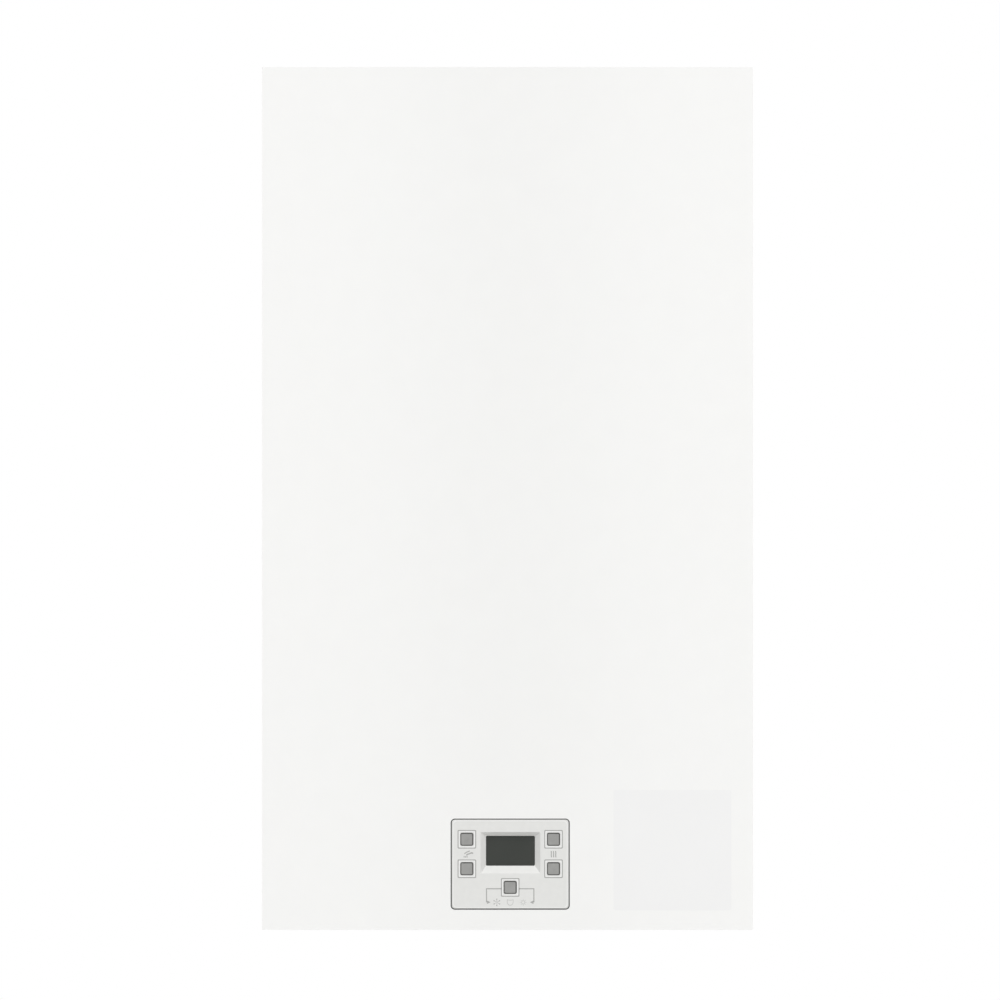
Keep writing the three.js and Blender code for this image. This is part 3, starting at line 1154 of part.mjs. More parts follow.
// Forward-curved blades between a back disc and a ring, on a hub and a steel shaft.
function fanImpeller() {
  const front = FAN_FRONT + SCROLL_T + 3;
  const back = FAN_BACK - SCROLL_T - 3;
  const disc = rod('y', WHEEL_R, FAN_X, FAN_Z, front, front + 1.5, 20);
  const ringShape = ring(20, WHEEL_R, FAN_X, FAN_Z);
  ringShape.holes.push(ring(20, WHEEL_R - 14, FAN_X, FAN_Z));
  const shroud = extrude(ringShape, 'y', back - 1.5, back);
  const blades = [];
  for (let i = 0; i < BLADE_COUNT; i += 1) {
    const turn = (i / BLADE_COUNT) * Math.PI * 2;
    const side = (r, lead) => [FAN_X + r * Math.cos(turn + lead), FAN_Z + r * Math.sin(turn + lead)];
    blades.push(extrude(polygon([side(WHEEL_R - 14, 0), side(WHEEL_R - 8, -0.02), side(WHEEL_R - 1.5, 0.09),
      side(WHEEL_R - 8, 0.015)]),
    'y', front + 0.5, back - 0.5));
  }
  const hub = turned('y', [[0, front - 1.5], [11, front - 1.5], [14, front + 1], [8, front + 16],
    [0, front + 16]], FAN_X, FAN_Z, 16);
  const shaft = rod('y', SHAFT_R, FAN_X, FAN_Z, FAN_FRONT - 22, front + 5, 12);
  return join([disc, shroud, ...blades, hub, shaft]);
}

// Shaded-pole motor: a laminated stack, its coil, a bearing bracket and three feet.
function fanMotor() {
  const y1 = FAN_FRONT - FIT;
  const stackBack = y1 - 12;
  const stackFront = stackBack - 18;
  const stack = extrude(roundRect(FAN_X - FAN_MOTOR_W / 2, FAN_X + FAN_MOTOR_W / 2,
    FAN_Z - FAN_MOTOR_H / 2, FAN_Z + FAN_MOTOR_H / 2, 4), 'y', stackFront, stackBack, 2);
  const coil = extrude(roundRect(FAN_X - 18, FAN_X + 18, FAN_Z - FAN_MOTOR_H / 2 - 8,
    FAN_Z - FAN_MOTOR_H / 2 + 10, 4), 'y', stackFront - 8, stackBack + 6, 2);
  const bell = turned('y', [[0, y1 - FAN_MOTOR_D], [9, y1 - FAN_MOTOR_D], [11, y1 - FAN_MOTOR_D + 4],
    [11, stackFront - 6], [20, stackFront - 2], [20, stackFront + 1], [0, stackFront + 1]],
  FAN_X, FAN_Z, 16);
  const seat = rod('y', 17, FAN_X, FAN_Z, stackBack - 1, y1, 18);
  const feet = [0, 1, 2].map((i) => {
    const a = (i / 3) * Math.PI * 2 + Math.PI / 2;
    return rod('y', 3, FAN_X + 24 * Math.cos(a), FAN_Z + 22 * Math.sin(a), stackBack - 1, y1, 8);
  });
  const bore = rod('y', SHAFT_R + FIT, FAN_X, FAN_Z, FAN_FRONT - 24, y1 + 1, 12);
  return cut(join([stack, coil, bell, seat, ...feet]), [bore]);
}

addPiece('flue_hood', flueHood(), ALUMINISED);
addPiece('fan_scroll', fanScroll(), ALUMINISED);
addPiece('fan_impeller', fanImpeller(), GALVANISED);
addPiece('fan_motor', fanMotor(), MOTOR_STEEL);

// ---------------------------------------------------------------- flue socket
// Two coaxial sleeves on one flange: flue gas leaves inside, air comes in round it.
function flueSocket() {
  const flangeZ = CHAMBER_TOP + SOCKET_SEAL_T + 2 * FIT;
  const flange = rod('z', SOCKET_FLANGE_R, FLUE_X, FLUE_Y, flangeZ, flangeZ + SOCKET_T, 24);
  const collar = rod('z', AIR_R + SOCKET_T, FLUE_X, FLUE_Y, flangeZ, CASING_H, 24);
  const air = rod('z', AIR_R, FLUE_X, FLUE_Y, flangeZ - 1, CASING_H + 1, 24);
  const low = CHAMBER_TOP - SOCKET_DROP;
  const sleeve = rod('z', FLUE_R + SOCKET_T, FLUE_X, FLUE_Y, low, CASING_H, 24);
  const bore = rod('z', FLUE_R, FLUE_X, FLUE_Y, low - 1, CASING_H + 1, 24);
  const webs = [0, 1, 2].map((i) => {
    const web = new THREE.BoxGeometry(AIR_R - FLUE_R, 2, 8);
    web.translate((AIR_R + FLUE_R + SOCKET_T) / 2, 0, flangeZ + 4);
    web.rotateZ((i / 3) * Math.PI * 2 + 0.5);
    web.translate(FLUE_X, FLUE_Y, 0);
    return solid(web);
  });
  return cut(join([join([flange, collar]).subtract(air), sleeve, ...webs]), [bore]);
}

function flueSeal() {
  const shape = ring(24, SOCKET_FLANGE_R - 1, FLUE_X, FLUE_Y);
  shape.holes.push(ring(24, AIR_R + 2, FLUE_X, FLUE_Y));
  return extrude(shape, 'z', CHAMBER_TOP + FIT, CHAMBER_TOP + FIT + SOCKET_SEAL_T);
}

addPiece('flue_socket', flueSocket(), ALUMINISED);
addPiece('flue_seal', flueSeal(), BLACK_RUBBER);

// ---------------------------------------------------------------- air pressure switch
function pressureSwitch() {
  const back = BACK_IN - FIT;
  const body = turned('y', [[0, back - SWITCH_D], [10, back - SWITCH_D], [12, back - SWITCH_D + 5],
    [SWITCH_R - 5, back - SWITCH_D + 6], [SWITCH_R, back - SWITCH_D + 9], [SWITCH_R, back - 6],
    [SWITCH_R - 4, back - 3], [SWITCH_R - 4, back], [0, back]], SWITCH_X, SWITCH_Z, 18);
  const tabs = [-1, 0, 1].map((i) => block(SWITCH_X + i * 6 - 1.5, SWITCH_X + i * 6 + 1.5,
    back - SWITCH_D - 7, back - SWITCH_D + 1, SWITCH_Z - 0.5, SWITCH_Z + 0.5));
  const nipple = rod('x', 3, back - 14, SWITCH_Z, SWITCH_X - SWITCH_R - 9, SWITCH_X - SWITCH_R + 2, 10);
  return join([body, ...tabs, nipple]);
}

addPiece('air_pressure_switch', pressureSwitch(), DARK_PLASTIC);

// ---------------------------------------------------------------- hydraulic groups
// A pipe tail that passes the bracket: bored from below, with a hexagon that rests above it.
function tailSolid(t, top) {
  const stem = rod('z', t.r, t.x, PIPE_Y, PIPE_FACE_Z, top, 12);
  const hex = rod('z', t.r + HEX_OVER, t.x, PIPE_Y, BRACKET_TOP + FIT, BRACKET_TOP + FIT + HEX_H, 6);
  return stem.add(hex);
}

// A tail that screws into its group from below, bored right through.
function screwedTail(t) {
  const top = PIPE_FACE_Z + TAIL_BORE_DEPTH;
  return tailSolid(t, top).subtract(rod('z', t.bore, t.x, PIPE_Y, PIPE_FACE_Z - 1, top + 1, 8));
}

function tailBore(t) {
  return rod('z', t.bore, t.x, PIPE_Y, PIPE_FACE_Z - 1, PIPE_FACE_Z + TAIL_BORE_DEPTH, 8);
}

const PORT_LOW = PLATE_HX_Z + PLATE_PORT_RISE;
const PORT_HIGH = PLATE_HX_Z + PLATE_HX_H - PLATE_PORT_RISE;
const PORT_FRONT = PLATE_HX_Y - PLATE_HX_D - PLATE_PORT_L;

// The two brass arms that meet the plate exchanger's ports on one side.
function exchangerArms(side) {
  const x = side * PLATE_PORT_X;
  const arms = [PORT_LOW, PORT_HIGH].map((z) => rod('y', PLATE_PORT_R, x, z,
    PIPE_Y, PORT_FRONT - FIT, 8));
  const column = rod('z', PLATE_PORT_R + 1, x, PIPE_Y, GROUP_Z, PORT_HIGH + PLATE_PORT_R - 2, 8);
  return [...arms, column];
}

// Left group: flow and hot-water tails, diverter body and relief valve in one brass casting.
function flowGroup() {
  const { flow, hot } = TAILS;
  const run = rod('x', GROUP_R, PIPE_Y, GROUP_Z, flow.x - GROUP_END, hot.x + GROUP_END, 10);
  const neck = rod('z', 14, flow.x, PIPE_Y, GROUP_Z, VALVE_Z + VALVE_R + 5, 14);
  const valve = rod('y', VALVE_R, flow.x, VALVE_Z, PIPE_Y - VALVE_FRONT, PIPE_Y + 20, 12);
  const gland = rod('y', VALVE_R - 6, flow.x, VALVE_Z, PIPE_Y - VALVE_FRONT - 3, PIPE_Y, 12);
  const relief = rod('y', RELIEF_R, RELIEF_X, GROUP_Z, PIPE_Y - 36, PIPE_Y + 12, 12);
  const reliefCap = rod('y', RELIEF_R + 2, RELIEF_X, GROUP_Z, PIPE_Y - 30, PIPE_Y - 18, 6);
  const reliefLink = rod('x', 8, PIPE_Y, GROUP_Z, RELIEF_X, flow.x, 10);
  const reliefTail = rod('z', RELIEF_TAIL_R, RELIEF_X, PIPE_Y, PIPE_FACE_Z, GROUP_Z, 12);
  const reliefBore = rod('z', RELIEF_BORE_R, RELIEF_X, PIPE_Y, PIPE_FACE_Z - 1,
    PIPE_FACE_Z + TAIL_BORE_DEPTH, 8);
  const spindleHole = rod('y', SPINDLE_R + FIT, flow.x, VALVE_Z, PIPE_Y - VALVE_FRONT - 4,
    PIPE_Y - VALVE_FRONT + 30, 10);
  const knobPin = rod('y', 3, RELIEF_X, GROUP_Z, PIPE_Y - 46, PIPE_Y - 30, 10);
  return cut(join([run, neck, valve, gland, relief, reliefCap, reliefLink, reliefTail, knobPin,
    tailSolid(flow, GROUP_Z), tailSolid(hot, GROUP_Z), ...exchangerArms(-1)]),
  [tailBore(flow), tailBore(hot), reliefBore, spindleHole]);
}

function reliefKnob() {
  const y1 = PIPE_Y - 36 - FIT;
  const shape = new THREE.Shape();
  const lobes = 24;
  for (let i = 0; i < lobes; i += 1) {
    const a = (i / lobes) * Math.PI * 2;
    const r = RELIEF_KNOB_R - (i % 4 === 0 ? 1.8 : 0);
    const [u, v] = [RELIEF_X + r * Math.cos(a), GROUP_Z + r * Math.sin(a)];
    if (i === 0) shape.moveTo(u, v);
    else shape.lineTo(u, v);
  }
  const knob = extrude(shape, 'y', y1 - 16, y1);
  return knob.subtract(rod('y', 3 + FIT, RELIEF_X, GROUP_Z, y1 - 12, y1 + 1, 10));
}

function threeWaySpindle() {
  const start = PIPE_Y - VALVE_FRONT - 3 - SPINDLE_SHOW;
  const pin = rod('y', SPINDLE_R, TAILS.flow.x, VALVE_Z, start + FIT, PIPE_Y - VALVE_FRONT + 18, 10);
  const head = rod('y', SPINDLE_R + 2.5, TAILS.flow.x, VALVE_Z, start + FIT, start + FIT + 3, 12);
  return pin.add(head);
}

// Synchronous motor head: round can, gear cap, and a forked yoke clipped over the gland.
function threeWayMotor() {
  const x = TAILS.flow.x;
  const glandFront = PIPE_Y - VALVE_FRONT - 3;
  const back = glandFront - SPINDLE_SHOW;
  const can = rod('y', 21, x, VALVE_Z, back - VALVE_MOTOR_D, back - 22, 20);
  const cap = extrude(roundRect(x - 24, x + 24, VALVE_Z - 22, VALVE_Z + 22, 6), 'y', back - 24, back, 2);
  const arms = [-1, 1].map((side) => {
    const x0 = side > 0 ? x + 12 : x - 16;
    return block(x0, x0 + 4, back - 1, glandFront + 3, VALVE_Z - 8, VALVE_Z + 8);
  });
  const plug = block(x - 9, x + 9, back - VALVE_MOTOR_D - 5, back - VALVE_MOTOR_D + 1,
    VALVE_Z - 14, VALVE_Z - 4);
  const trim = rod('y', VALVE_R + FIT, x, VALVE_Z, PIPE_Y - VALVE_FRONT - FIT, PIPE_Y, 12);
  return cut(join([can, cap, ...arms, plug]), [trim]);
}

// Right group: cold and return tails, filter chamber, filling valve and the pump's seat.
function returnGroup() {
  const { cold, back } = TAILS;
  const run = rod('x', GROUP_R, PIPE_Y, GROUP_Z, cold.x - GROUP_END, back.x + GROUP_END, 10);
  const seat = rod('z', PUMP_SUCTION_R, SUCTION_X, SUCTION_Y, GROUP_Z, SEAT_Z, 14);
  const seatHex = rod('z', PUMP_SUCTION_R + 4, SUCTION_X, SUCTION_Y, SEAT_Z - 12, SEAT_Z, 6);
  const link = rod('y', 10, SUCTION_X, GROUP_Z, PIPE_Y, SUCTION_Y, 10);
  const filter = rod('y', 12, back.x, GROUP_Z, PIPE_Y - 40, PIPE_Y, 12);
  const filterCap = rod('y', 14, back.x, GROUP_Z, PIPE_Y - 48, PIPE_Y - 38, 8);
  const fillBody = rod('y', 9, FILL_X, GROUP_Z, FILL_Y, PIPE_Y, 12);
  const fillStem = rod('z', 9, FILL_X, FILL_Y, FILL_TOP + FIT, GROUP_Z + 9, 12);
  const fillPin = rod('z', 3, FILL_X, FILL_Y, FILL_TOP - 8, FILL_TOP + 4, 10);
  const bosses = [cold, back].map((t) => rod(
    'z', t.r, t.x, PIPE_Y, PIPE_FACE_Z + TAIL_BORE_DEPTH + FIT, GROUP_Z, 12));
  return join([run, seat, seatHex, link, filter, filterCap, fillBody, fillStem, fillPin,
    ...bosses, ...exchangerArms(1)]);
}

const SUCTION_X = PUMP_X + PUMP_SUCTION_SHIFT;
const SUCTION_Y = PUMP_BACK - 16;
const SEAT_Z = 104;
const FILL_TOP = FILL_KNOB_Z + FILL_KNOB_H;

function fillKnob() {
  const shape = new THREE.Shape();
  const steps = 24;
  for (let i = 0; i < steps; i += 1) {
    const a = (i / steps) * Math.PI * 2;
    const r = FILL_KNOB_R - (i % 3 === 0 ? 1.4 : 0);
    const [u, v] = [FILL_X + r * Math.cos(a), FILL_Y + r * Math.sin(a)];
    if (i === 0) shape.moveTo(u, v);
    else shape.lineTo(u, v);
  }
  const knob = extrude(shape, 'z', FILL_KNOB_Z, FILL_TOP);
  return knob.subtract(rod('z', 3 + FIT, FILL_X, FILL_Y, FILL_TOP - 8 - FIT, FILL_TOP + 1, 10));
}

function flowSensor() {
  const { x, r } = TAILS.cold;
  const z0 = 30;
  const ringed = turned('z', [[r + FIT, z0], [r + 5, z0], [r + 5, z0 + 14], [r + FIT, z0 + 14],
    [r + FIT, z0]], x, PIPE_Y, 14);
  const front = PIPE_Y - r - 4;
  return ringed.add(block(x - 7, x + 7, front - 12, front + 1, z0 + 1, z0 + 13));
}

// Brazed plates: full plates and slightly smaller ones by turns, with four round ports.
function plateExchanger() {
  const half = PLATE_HX_W / 2;
  const pitch = PLATE_HX_D / (2 * PLATE_PAIRS);
  const parts = [];
  for (let i = 0; i < 2 * PLATE_PAIRS; i += 1) {
    const inset = i % 2 === 0 ? 0 : 1.6;
    const y1 = PLATE_HX_Y - i * pitch;
    parts.push(extrude(roundRect(-half + inset, half - inset, PLATE_HX_Z + inset,
      PLATE_HX_Z + PLATE_HX_H - inset, 14), 'y', y1 - pitch, y1, 1));
  }
  const ports = [-1, 1].flatMap((side) => [PORT_LOW, PORT_HIGH].map((z) => rod(
    'y', PLATE_PORT_R, side * PLATE_PORT_X, z, PORT_FRONT, PLATE_HX_Y - PLATE_HX_D + 1, 8)));
  const feet = [-1, 1].map((side) => block(side * 50 - 8, side * 50 + 8,
    PLATE_HX_Y - 1, -FRAME_T - FIT, PLATE_HX_Z + 30, PLATE_HX_Z + 32));
  return join([...parts, ...ports, ...feet]);
}

addPiece('flow_group', flowGroup(), BRASS);
addPiece('relief_knob', reliefKnob(), RED_KNOB);
addPiece('three_way_spindle', threeWaySpindle(), STAINLESS);
addPiece('three_way_motor', threeWayMotor(), DARK_PLASTIC);
addPiece('return_group', returnGroup(), BRASS);
addPiece('cold_water_tail', screwedTail(TAILS.cold), BRASS);
addPiece('heating_return_tail', screwedTail(TAILS.back), BRASS);
addPiece('fill_knob', fillKnob(), DARK_PLASTIC);
addPiece('flow_sensor', flowSensor(), DARK_PLASTIC);
addPiece('plate_heat_exchanger', plateExchanger(), STAINLESS);

// ---------------------------------------------------------------- pump
const PUMP_FRONT = PUMP_BACK - PUMP_BODY_D;

function pumpVolute() {
  const body = turned('y', [[0, PUMP_FRONT], [PUMP_R, PUMP_FRONT], [PUMP_R, PUMP_BACK - 8],
    [PUMP_R - 6, PUMP_BACK], [0, PUMP_BACK]], PUMP_X, PUMP_Z, 20);
  const cavity = rod('y', PUMP_CAVITY_R, PUMP_X, PUMP_Z, PUMP_FRONT - 1, PUMP_FRONT + PUMP_CAVITY_D, 20);
  const suction = rod('z', PUMP_SUCTION_R, SUCTION_X, SUCTION_Y, SEAT_Z + FIT, PUMP_Z - 20, 14);
  const suctionBore = rod('z', PUMP_SUCTION_R - 4, SUCTION_X, SUCTION_Y, SEAT_Z - 1, PUMP_Z - PUMP_CAVITY_R + 8, 12);
  const outlet = rod('z', PUMP_OUTLET_R, PUMP_OUTLET_X, PUMP_OUTLET_Y, PUMP_Z, PUMP_OUTLET_TOP, 12)
    .subtract(rod('y', PUMP_CAVITY_R + 1, PUMP_X, PUMP_Z, PUMP_FRONT - 1, PUMP_FRONT + PUMP_CAVITY_D, 20));
  const vent = turned('z', [[0, PUMP_Z], [VENT_R, PUMP_Z], [VENT_R, VENT_TOP - 8], [5, VENT_TOP - 3],
    [5, VENT_TOP], [0, VENT_TOP]], VENT_X, PUMP_OUTLET_Y, 12)
    .subtract(rod('y', PUMP_CAVITY_R + 1, PUMP_X, PUMP_Z, PUMP_FRONT - 1, PUMP_FRONT + PUMP_CAVITY_D, 20));
  const ventPin = rod('z', 1.5, VENT_X, PUMP_OUTLET_Y, VENT_TOP - 1, VENT_TOP + 4, 8);
  const eye = rod('y', 11, PUMP_X, PUMP_Z, PUMP_FRONT + PUMP_CAVITY_D - 1, SUCTION_Y + 1, 14);
  return cut(join([body, suction, outlet, vent, ventPin]), [cavity, suctionBore, eye]);
}

function pumpImpeller() {
  const back = PUMP_FRONT + 6; // motor side
  const front = PUMP_FRONT + PUMP_CAVITY_D - 4; // eye side
  const disc = rod('y', PUMP_WHEEL_R, PUMP_X, PUMP_Z, back, back + 2.5, 16);
  const eyeShape = ring(16, PUMP_WHEEL_R, PUMP_X, PUMP_Z);
  eyeShape.holes.push(ring(10, 12, PUMP_X, PUMP_Z));
  const shroud = extrude(eyeShape, 'y', front - 2, front);
  const vanes = [];
  for (let i = 0; i < PUMP_VANES; i += 1) {
    const turn = (i / PUMP_VANES) * Math.PI * 2;
    const at = (r, lag) => [PUMP_X + r * Math.cos(turn - lag), PUMP_Z + r * Math.sin(turn - lag)];
    vanes.push(extrude(polygon([at(13, 0), at(20, 0.35), at(28, 0.8), at(PUMP_WHEEL_R - 1, 1.2),
      at(PUMP_WHEEL_R - 1, 1.27), at(28, 0.9), at(20, 0.5), at(13, 0.2)].reverse()),
    'y', back + 1, front - 1));
  }
  const shaft = rod('y', PUMP_SHAFT_R, PUMP_X, PUMP_Z, PUMP_FRONT - 30, back + 10, 12);
  return join([disc, shroud, ...vanes, shaft]);
}

// Round motor can with a mounting flange, terminal box and vent screw.
function pumpMotor() {
  const y1 = PUMP_FRONT - FIT;
  const end = y1 - PUMP_CAN_D;
  const can = turned('y', [[0, end], [PUMP_CAN_R - 10, end], [PUMP_CAN_R, end + 9],
    [PUMP_CAN_R, y1 - 9], [PUMP_R, y1 - 8], [PUMP_R, y1], [0, y1]], PUMP_X, PUMP_Z, 20);
  const screw = turned('y', [[0, end - 5], [8, end - 5], [10, end - 3], [10, end + 1], [0, end + 1]],
    PUMP_X, PUMP_Z, 14);
  const box = extrude(roundRect(PUMP_X + 34, PUMP_X + 76, PUMP_Z - 30, PUMP_Z + 22, 4), 'y',
    end + 4, end + 48, 2);
  const bore = rod('y', PUMP_SHAFT_R + FIT, PUMP_X, PUMP_Z, PUMP_FRONT - 32, y1 + 1, 12);
  return cut(join([can, screw, box]), [bore]);
}

function ventCap() {
  const z0 = VENT_TOP + FIT;
  const cap = turned('z', [[0, z0 - 2], [VENT_CAP_R, z0 - 2], [VENT_CAP_R, z0 + VENT_CAP_H - 2],
    [VENT_CAP_R - 1.5, z0 + VENT_CAP_H], [0, z0 + VENT_CAP_H]], VENT_X, PUMP_OUTLET_Y, 12);
  const socket = rod('z', 5 + FIT, VENT_X, PUMP_OUTLET_Y, z0 - 3, z0, 12);
  const pin = rod('z', 1.5 + FIT, VENT_X, PUMP_OUTLET_Y, z0 - 1, VENT_TOP + 4 + FIT, 8);
  const wing = block(VENT_X - VENT_CAP_R - 2, VENT_X + VENT_CAP_R + 2, PUMP_OUTLET_Y - 1,
    PUMP_OUTLET_Y + 1, z0 + 2, z0 + 7);
  return cut(cap.add(wing), [socket, pin]);
}

addPiece('pump_volute', pumpVolute(), DARK_PLASTIC);
addPiece('pump_impeller', pumpImpeller(), WHITE_CERAMIC);
addPiece('pump_motor', pumpMotor(), BLACK_PAINT);
addPiece('air_vent_cap', ventCap(), DARK_PLASTIC);

// ---------------------------------------------------------------- gas valve and pipes
// Cast body with two coils on its front, a regulator cap, and square flanges for the pipes.
function gasValve() {
  const x0 = GAS_VALVE_X - GAS_VALVE_W / 2;
  const x1 = GAS_VALVE_X + GAS_VALVE_W / 2;
  const y1 = GAS_VALVE_BACK;
  const y0 = y1 - GAS_VALVE_D;
  const top = GAS_VALVE_Z + GAS_VALVE_H;
  const body = extrude(polygon([[x0, GAS_VALVE_Z + 8], [x0 + 8, GAS_VALVE_Z], [x1 - 8, GAS_VALVE_Z],
    [x1, GAS_VALVE_Z + 8], [x1, top - 14], [x1 - 14, top], [x0 + 14, top], [x0, top - 14]]),
  'y', y0, y1);
  const coils = [-1, 1].map((side) => rod('y', 13, GAS_VALVE_X + side * 16, GAS_VALVE_Z + 38,
    y0 - 26, y0 + 1, 14));
  const regulator = turned('y', [[0, y0 - 18], [6, y0 - 18], [8, y0 - 14], [8, y0 - 4], [11, y0 - 3],
    [11, y0 + 1], [0, y0 + 1]], GAS_VALVE_X, GAS_VALVE_Z + 13, 12);
  const inFlange = extrude(roundRect(-18, 18, GAS_IN_Z - 18, GAS_IN_Z + 18, 4), 'y', y1 - 1, y1 + 6, 2);
  const outFlange = extrude(roundRect(GAS_VALVE_X - 18, GAS_VALVE_X + 18, GAS_OUT_Y - 18,
    GAS_OUT_Y + 18, 4), 'z', top - 1, top + 6, 2);
  return join([body, ...coils, regulator, inFlange, outFlange]);
}

const GAS_IN_Z = GAS_VALVE_Z + 26;
const GAS_OUT_Y = GAS_VALVE_BACK - GAS_VALVE_D / 2;
const GAS_TOP = GAS_VALVE_Z + GAS_VALVE_H + 6;

function gasInletPipe() {
  const t = TAILS.gas;
  const run = pipe([[t.x, PIPE_Y, 30], [t.x, PIPE_Y, GAS_IN_Z], [t.x, GAS_VALVE_BACK + 6 + FIT, GAS_IN_Z]],
    GAS_PIPE_R, 18, 10, 4);
  return join([run, tailSolid(t, 34)]).subtract(tailBore(t));
}

function gasOutletPipe() {
  const turn = GAS_TOP + 22;
  return pipe([[GAS_VALVE_X, GAS_OUT_Y, GAS_TOP + FIT], [GAS_VALVE_X, GAS_OUT_Y, turn],
    [GAS_RISER.x, GAS_RISER.y, turn], [GAS_RISER.x, GAS_RISER.y, MANIFOLD_Z - 3 - FIT]],
  GAS_RISER.r, 14, 10, 4);
}

const HX_PORT_Z = HX_Z + FIN_H / 2 - HX_PORT_DROP;

function flowPipe() {
  const { flow } = TAILS;
  return pipe([[FLOW_RISER.x, FLOW_RISER.y, HX_PORT_Z - FIT], [FLOW_RISER.x, FLOW_RISER.y, 212],
    [flow.x, PIPE_Y, 176], [flow.x, PIPE_Y, VALVE_Z + VALVE_R + 5 + FIT]], RISER_R, 24, 10, 4);
}

function returnPipe() {
  return pipe([[PUMP_OUTLET_X, PUMP_OUTLET_Y, PUMP_OUTLET_TOP + FIT], [PUMP_OUTLET_X, PUMP_OUTLET_Y, 230],
    [BACK_RISER.x, BACK_RISER.y, 232], [BACK_RISER.x, BACK_RISER.y, HX_PORT_Z - FIT]],
  RISER_R, 13, 10, 4);
}

function vesselPipe() {
  const y = (-FRAME_T - FIT - CHAMBER_BACK + FIT) / 2;
  const x = PUMP_X - 24;
  return pipe([[VESSEL_NECK_X, y, VESSEL_Z - VESSEL_R - 22 - FIT], [VESSEL_NECK_X, y, 222],
    [x, y, PUMP_Z + 20], [x, PUMP_BACK + FIT, PUMP_Z + 20]], 5, 18, 8, 4);
}

addPiece('gas_valve', gasValve(), ALUMINISED);
addPiece('gas_inlet_pipe', gasInletPipe(), DULL_STEEL);
addPiece('gas_outlet_pipe', gasOutletPipe(), DULL_STEEL);
addPiece('flow_pipe', flowPipe(), COPPER);
addPiece('return_pipe', returnPipe(), COPPER);
addPiece('vessel_pipe', vesselPipe(), COPPER);

// ---------------------------------------------------------------- pressure gauge
// Round case open below, with a pivot pin and a thin pipe to the flow group.
function pressureGauge() {
  const top = GAUGE_FACE_Z + GAUGE_BODY_H;
  const body = turned('z', [[0, GAUGE_FACE_Z], [GAUGE_R - 1, GAUGE_FACE_Z], [GAUGE_R, GAUGE_FACE_Z + 1.5],
    [GAUGE_R, top - 3], [GAUGE_R - 3, top], [4, top], [4, top + 10], [0, top + 10]],
  GAUGE_X, GAUGE_Y, 16);
  const hollow = rod('z', GAUGE_R - GAUGE_RIM, GAUGE_X, GAUGE_Y, GAUGE_FACE_Z - 1,
    GAUGE_FACE_Z + GAUGE_DEPTH, 16);
  const pin = rod('z', GAUGE_PIN_R, GAUGE_X, GAUGE_Y, GAUGE_FACE_Z + 1.6, GAUGE_FACE_Z + GAUGE_DEPTH + 1, 8);
  const tube = pipe([[GAUGE_X, GAUGE_Y, top + 9], [GAUGE_X, GAUGE_Y, GROUP_Z],
    [GAUGE_X, PIPE_Y - GROUP_R - FIT, GROUP_Z]], 1.6, 12, 6, 3);
  return join([body.subtract(hollow), pin, tube]);
}

function gaugeNeedle() {
  const z0 = GAUGE_FACE_Z + 2.4;
  const blade = extrude(polygon([[GAUGE_X - 1.6, GAUGE_Y - 4], [GAUGE_X + 1.6, GAUGE_Y - 4],
    [GAUGE_X + 0.4, GAUGE_Y + GAUGE_NEEDLE_L], [GAUGE_X - 0.4, GAUGE_Y + GAUGE_NEEDLE_L]]),
  'z', z0, z0 + 0.8);
  const hub = rod('z', 2.6, GAUGE_X, GAUGE_Y, z0 - 0.2, z0 + 2, 12);
  return blade.add(hub).subtract(rod('z', GAUGE_PIN_R + FIT, GAUGE_X, GAUGE_Y, z0 - 2, z0 + 4, 8));
}

addPiece('pressure_gauge', pressureGauge(), DARK_PLASTIC);
addPiece('gauge_needle', gaugeNeedle(), BLACK_PAINT);

// Silicone tube from the fan's outlet to the air pressure switch.
function pressureTube() {
  const y = BACK_IN - FIT - 14;
  const start = SWITCH_X - SWITCH_R - 9 - FIT;
  const wall = FAN_X + SCROLL_R + SCROLL_GROWTH + FIT;
  return pipe([[start, y, SWITCH_Z], [wall + 36, y, SWITCH_Z], [wall + 36, FLUE_Y, FAN_Z + 46],
    [wall, FLUE_Y, FAN_Z + 46]], 3.5, 10, 8, 3);
}

addPiece('pressure_tube', pressureTube(), BLACK_RUBBER);

export default boiler;
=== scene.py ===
import math

import bmesh
import bpy
import numpy as np
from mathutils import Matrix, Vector


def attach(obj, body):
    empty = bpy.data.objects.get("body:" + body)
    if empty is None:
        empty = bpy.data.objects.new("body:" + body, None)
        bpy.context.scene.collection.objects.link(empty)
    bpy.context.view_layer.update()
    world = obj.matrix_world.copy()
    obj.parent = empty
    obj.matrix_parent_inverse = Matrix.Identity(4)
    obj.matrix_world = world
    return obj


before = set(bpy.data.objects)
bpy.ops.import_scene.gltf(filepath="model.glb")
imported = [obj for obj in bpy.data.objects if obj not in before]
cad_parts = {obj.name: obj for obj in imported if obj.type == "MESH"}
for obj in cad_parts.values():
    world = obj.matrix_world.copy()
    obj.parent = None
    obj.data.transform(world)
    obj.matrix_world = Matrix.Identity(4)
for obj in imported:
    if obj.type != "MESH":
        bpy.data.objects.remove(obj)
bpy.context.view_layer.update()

# ----------------------------------------------------------
# The studio. A white sweep that the camera sees as pure white, a pale floor well under the hung
# boiler, two tall soft boxes level with the casing, which give its front an even light, and a big
# far one high and slightly to the right, which shades every edge that faces down.
CASING_MIDDLE_X = 0.0
CASING_MIDDLE_Z = -0.3035
CASING_FRONT_Y = -0.299
PHOTO_MM_PER_PX = 0.8147
CASING_MIDDLE_PX = (507.5, 498.5)
PHOTO_SIDE_PX = 1000
CAMERA_DISTANCE = 5.0
CAMERA_REACH = 60
SENSOR_MM = 36.0
FLOOR_Z = -1.75
FLOOR_RADIUS = 9.0
FLOOR_CORNERS = 96
FLOOR_ROUGHNESS = 0.9
FLOOR_LIFT_SEEN = 0.36
SWEEP_SEEN = 1.0
SWEEP_LIGHT = 0.5
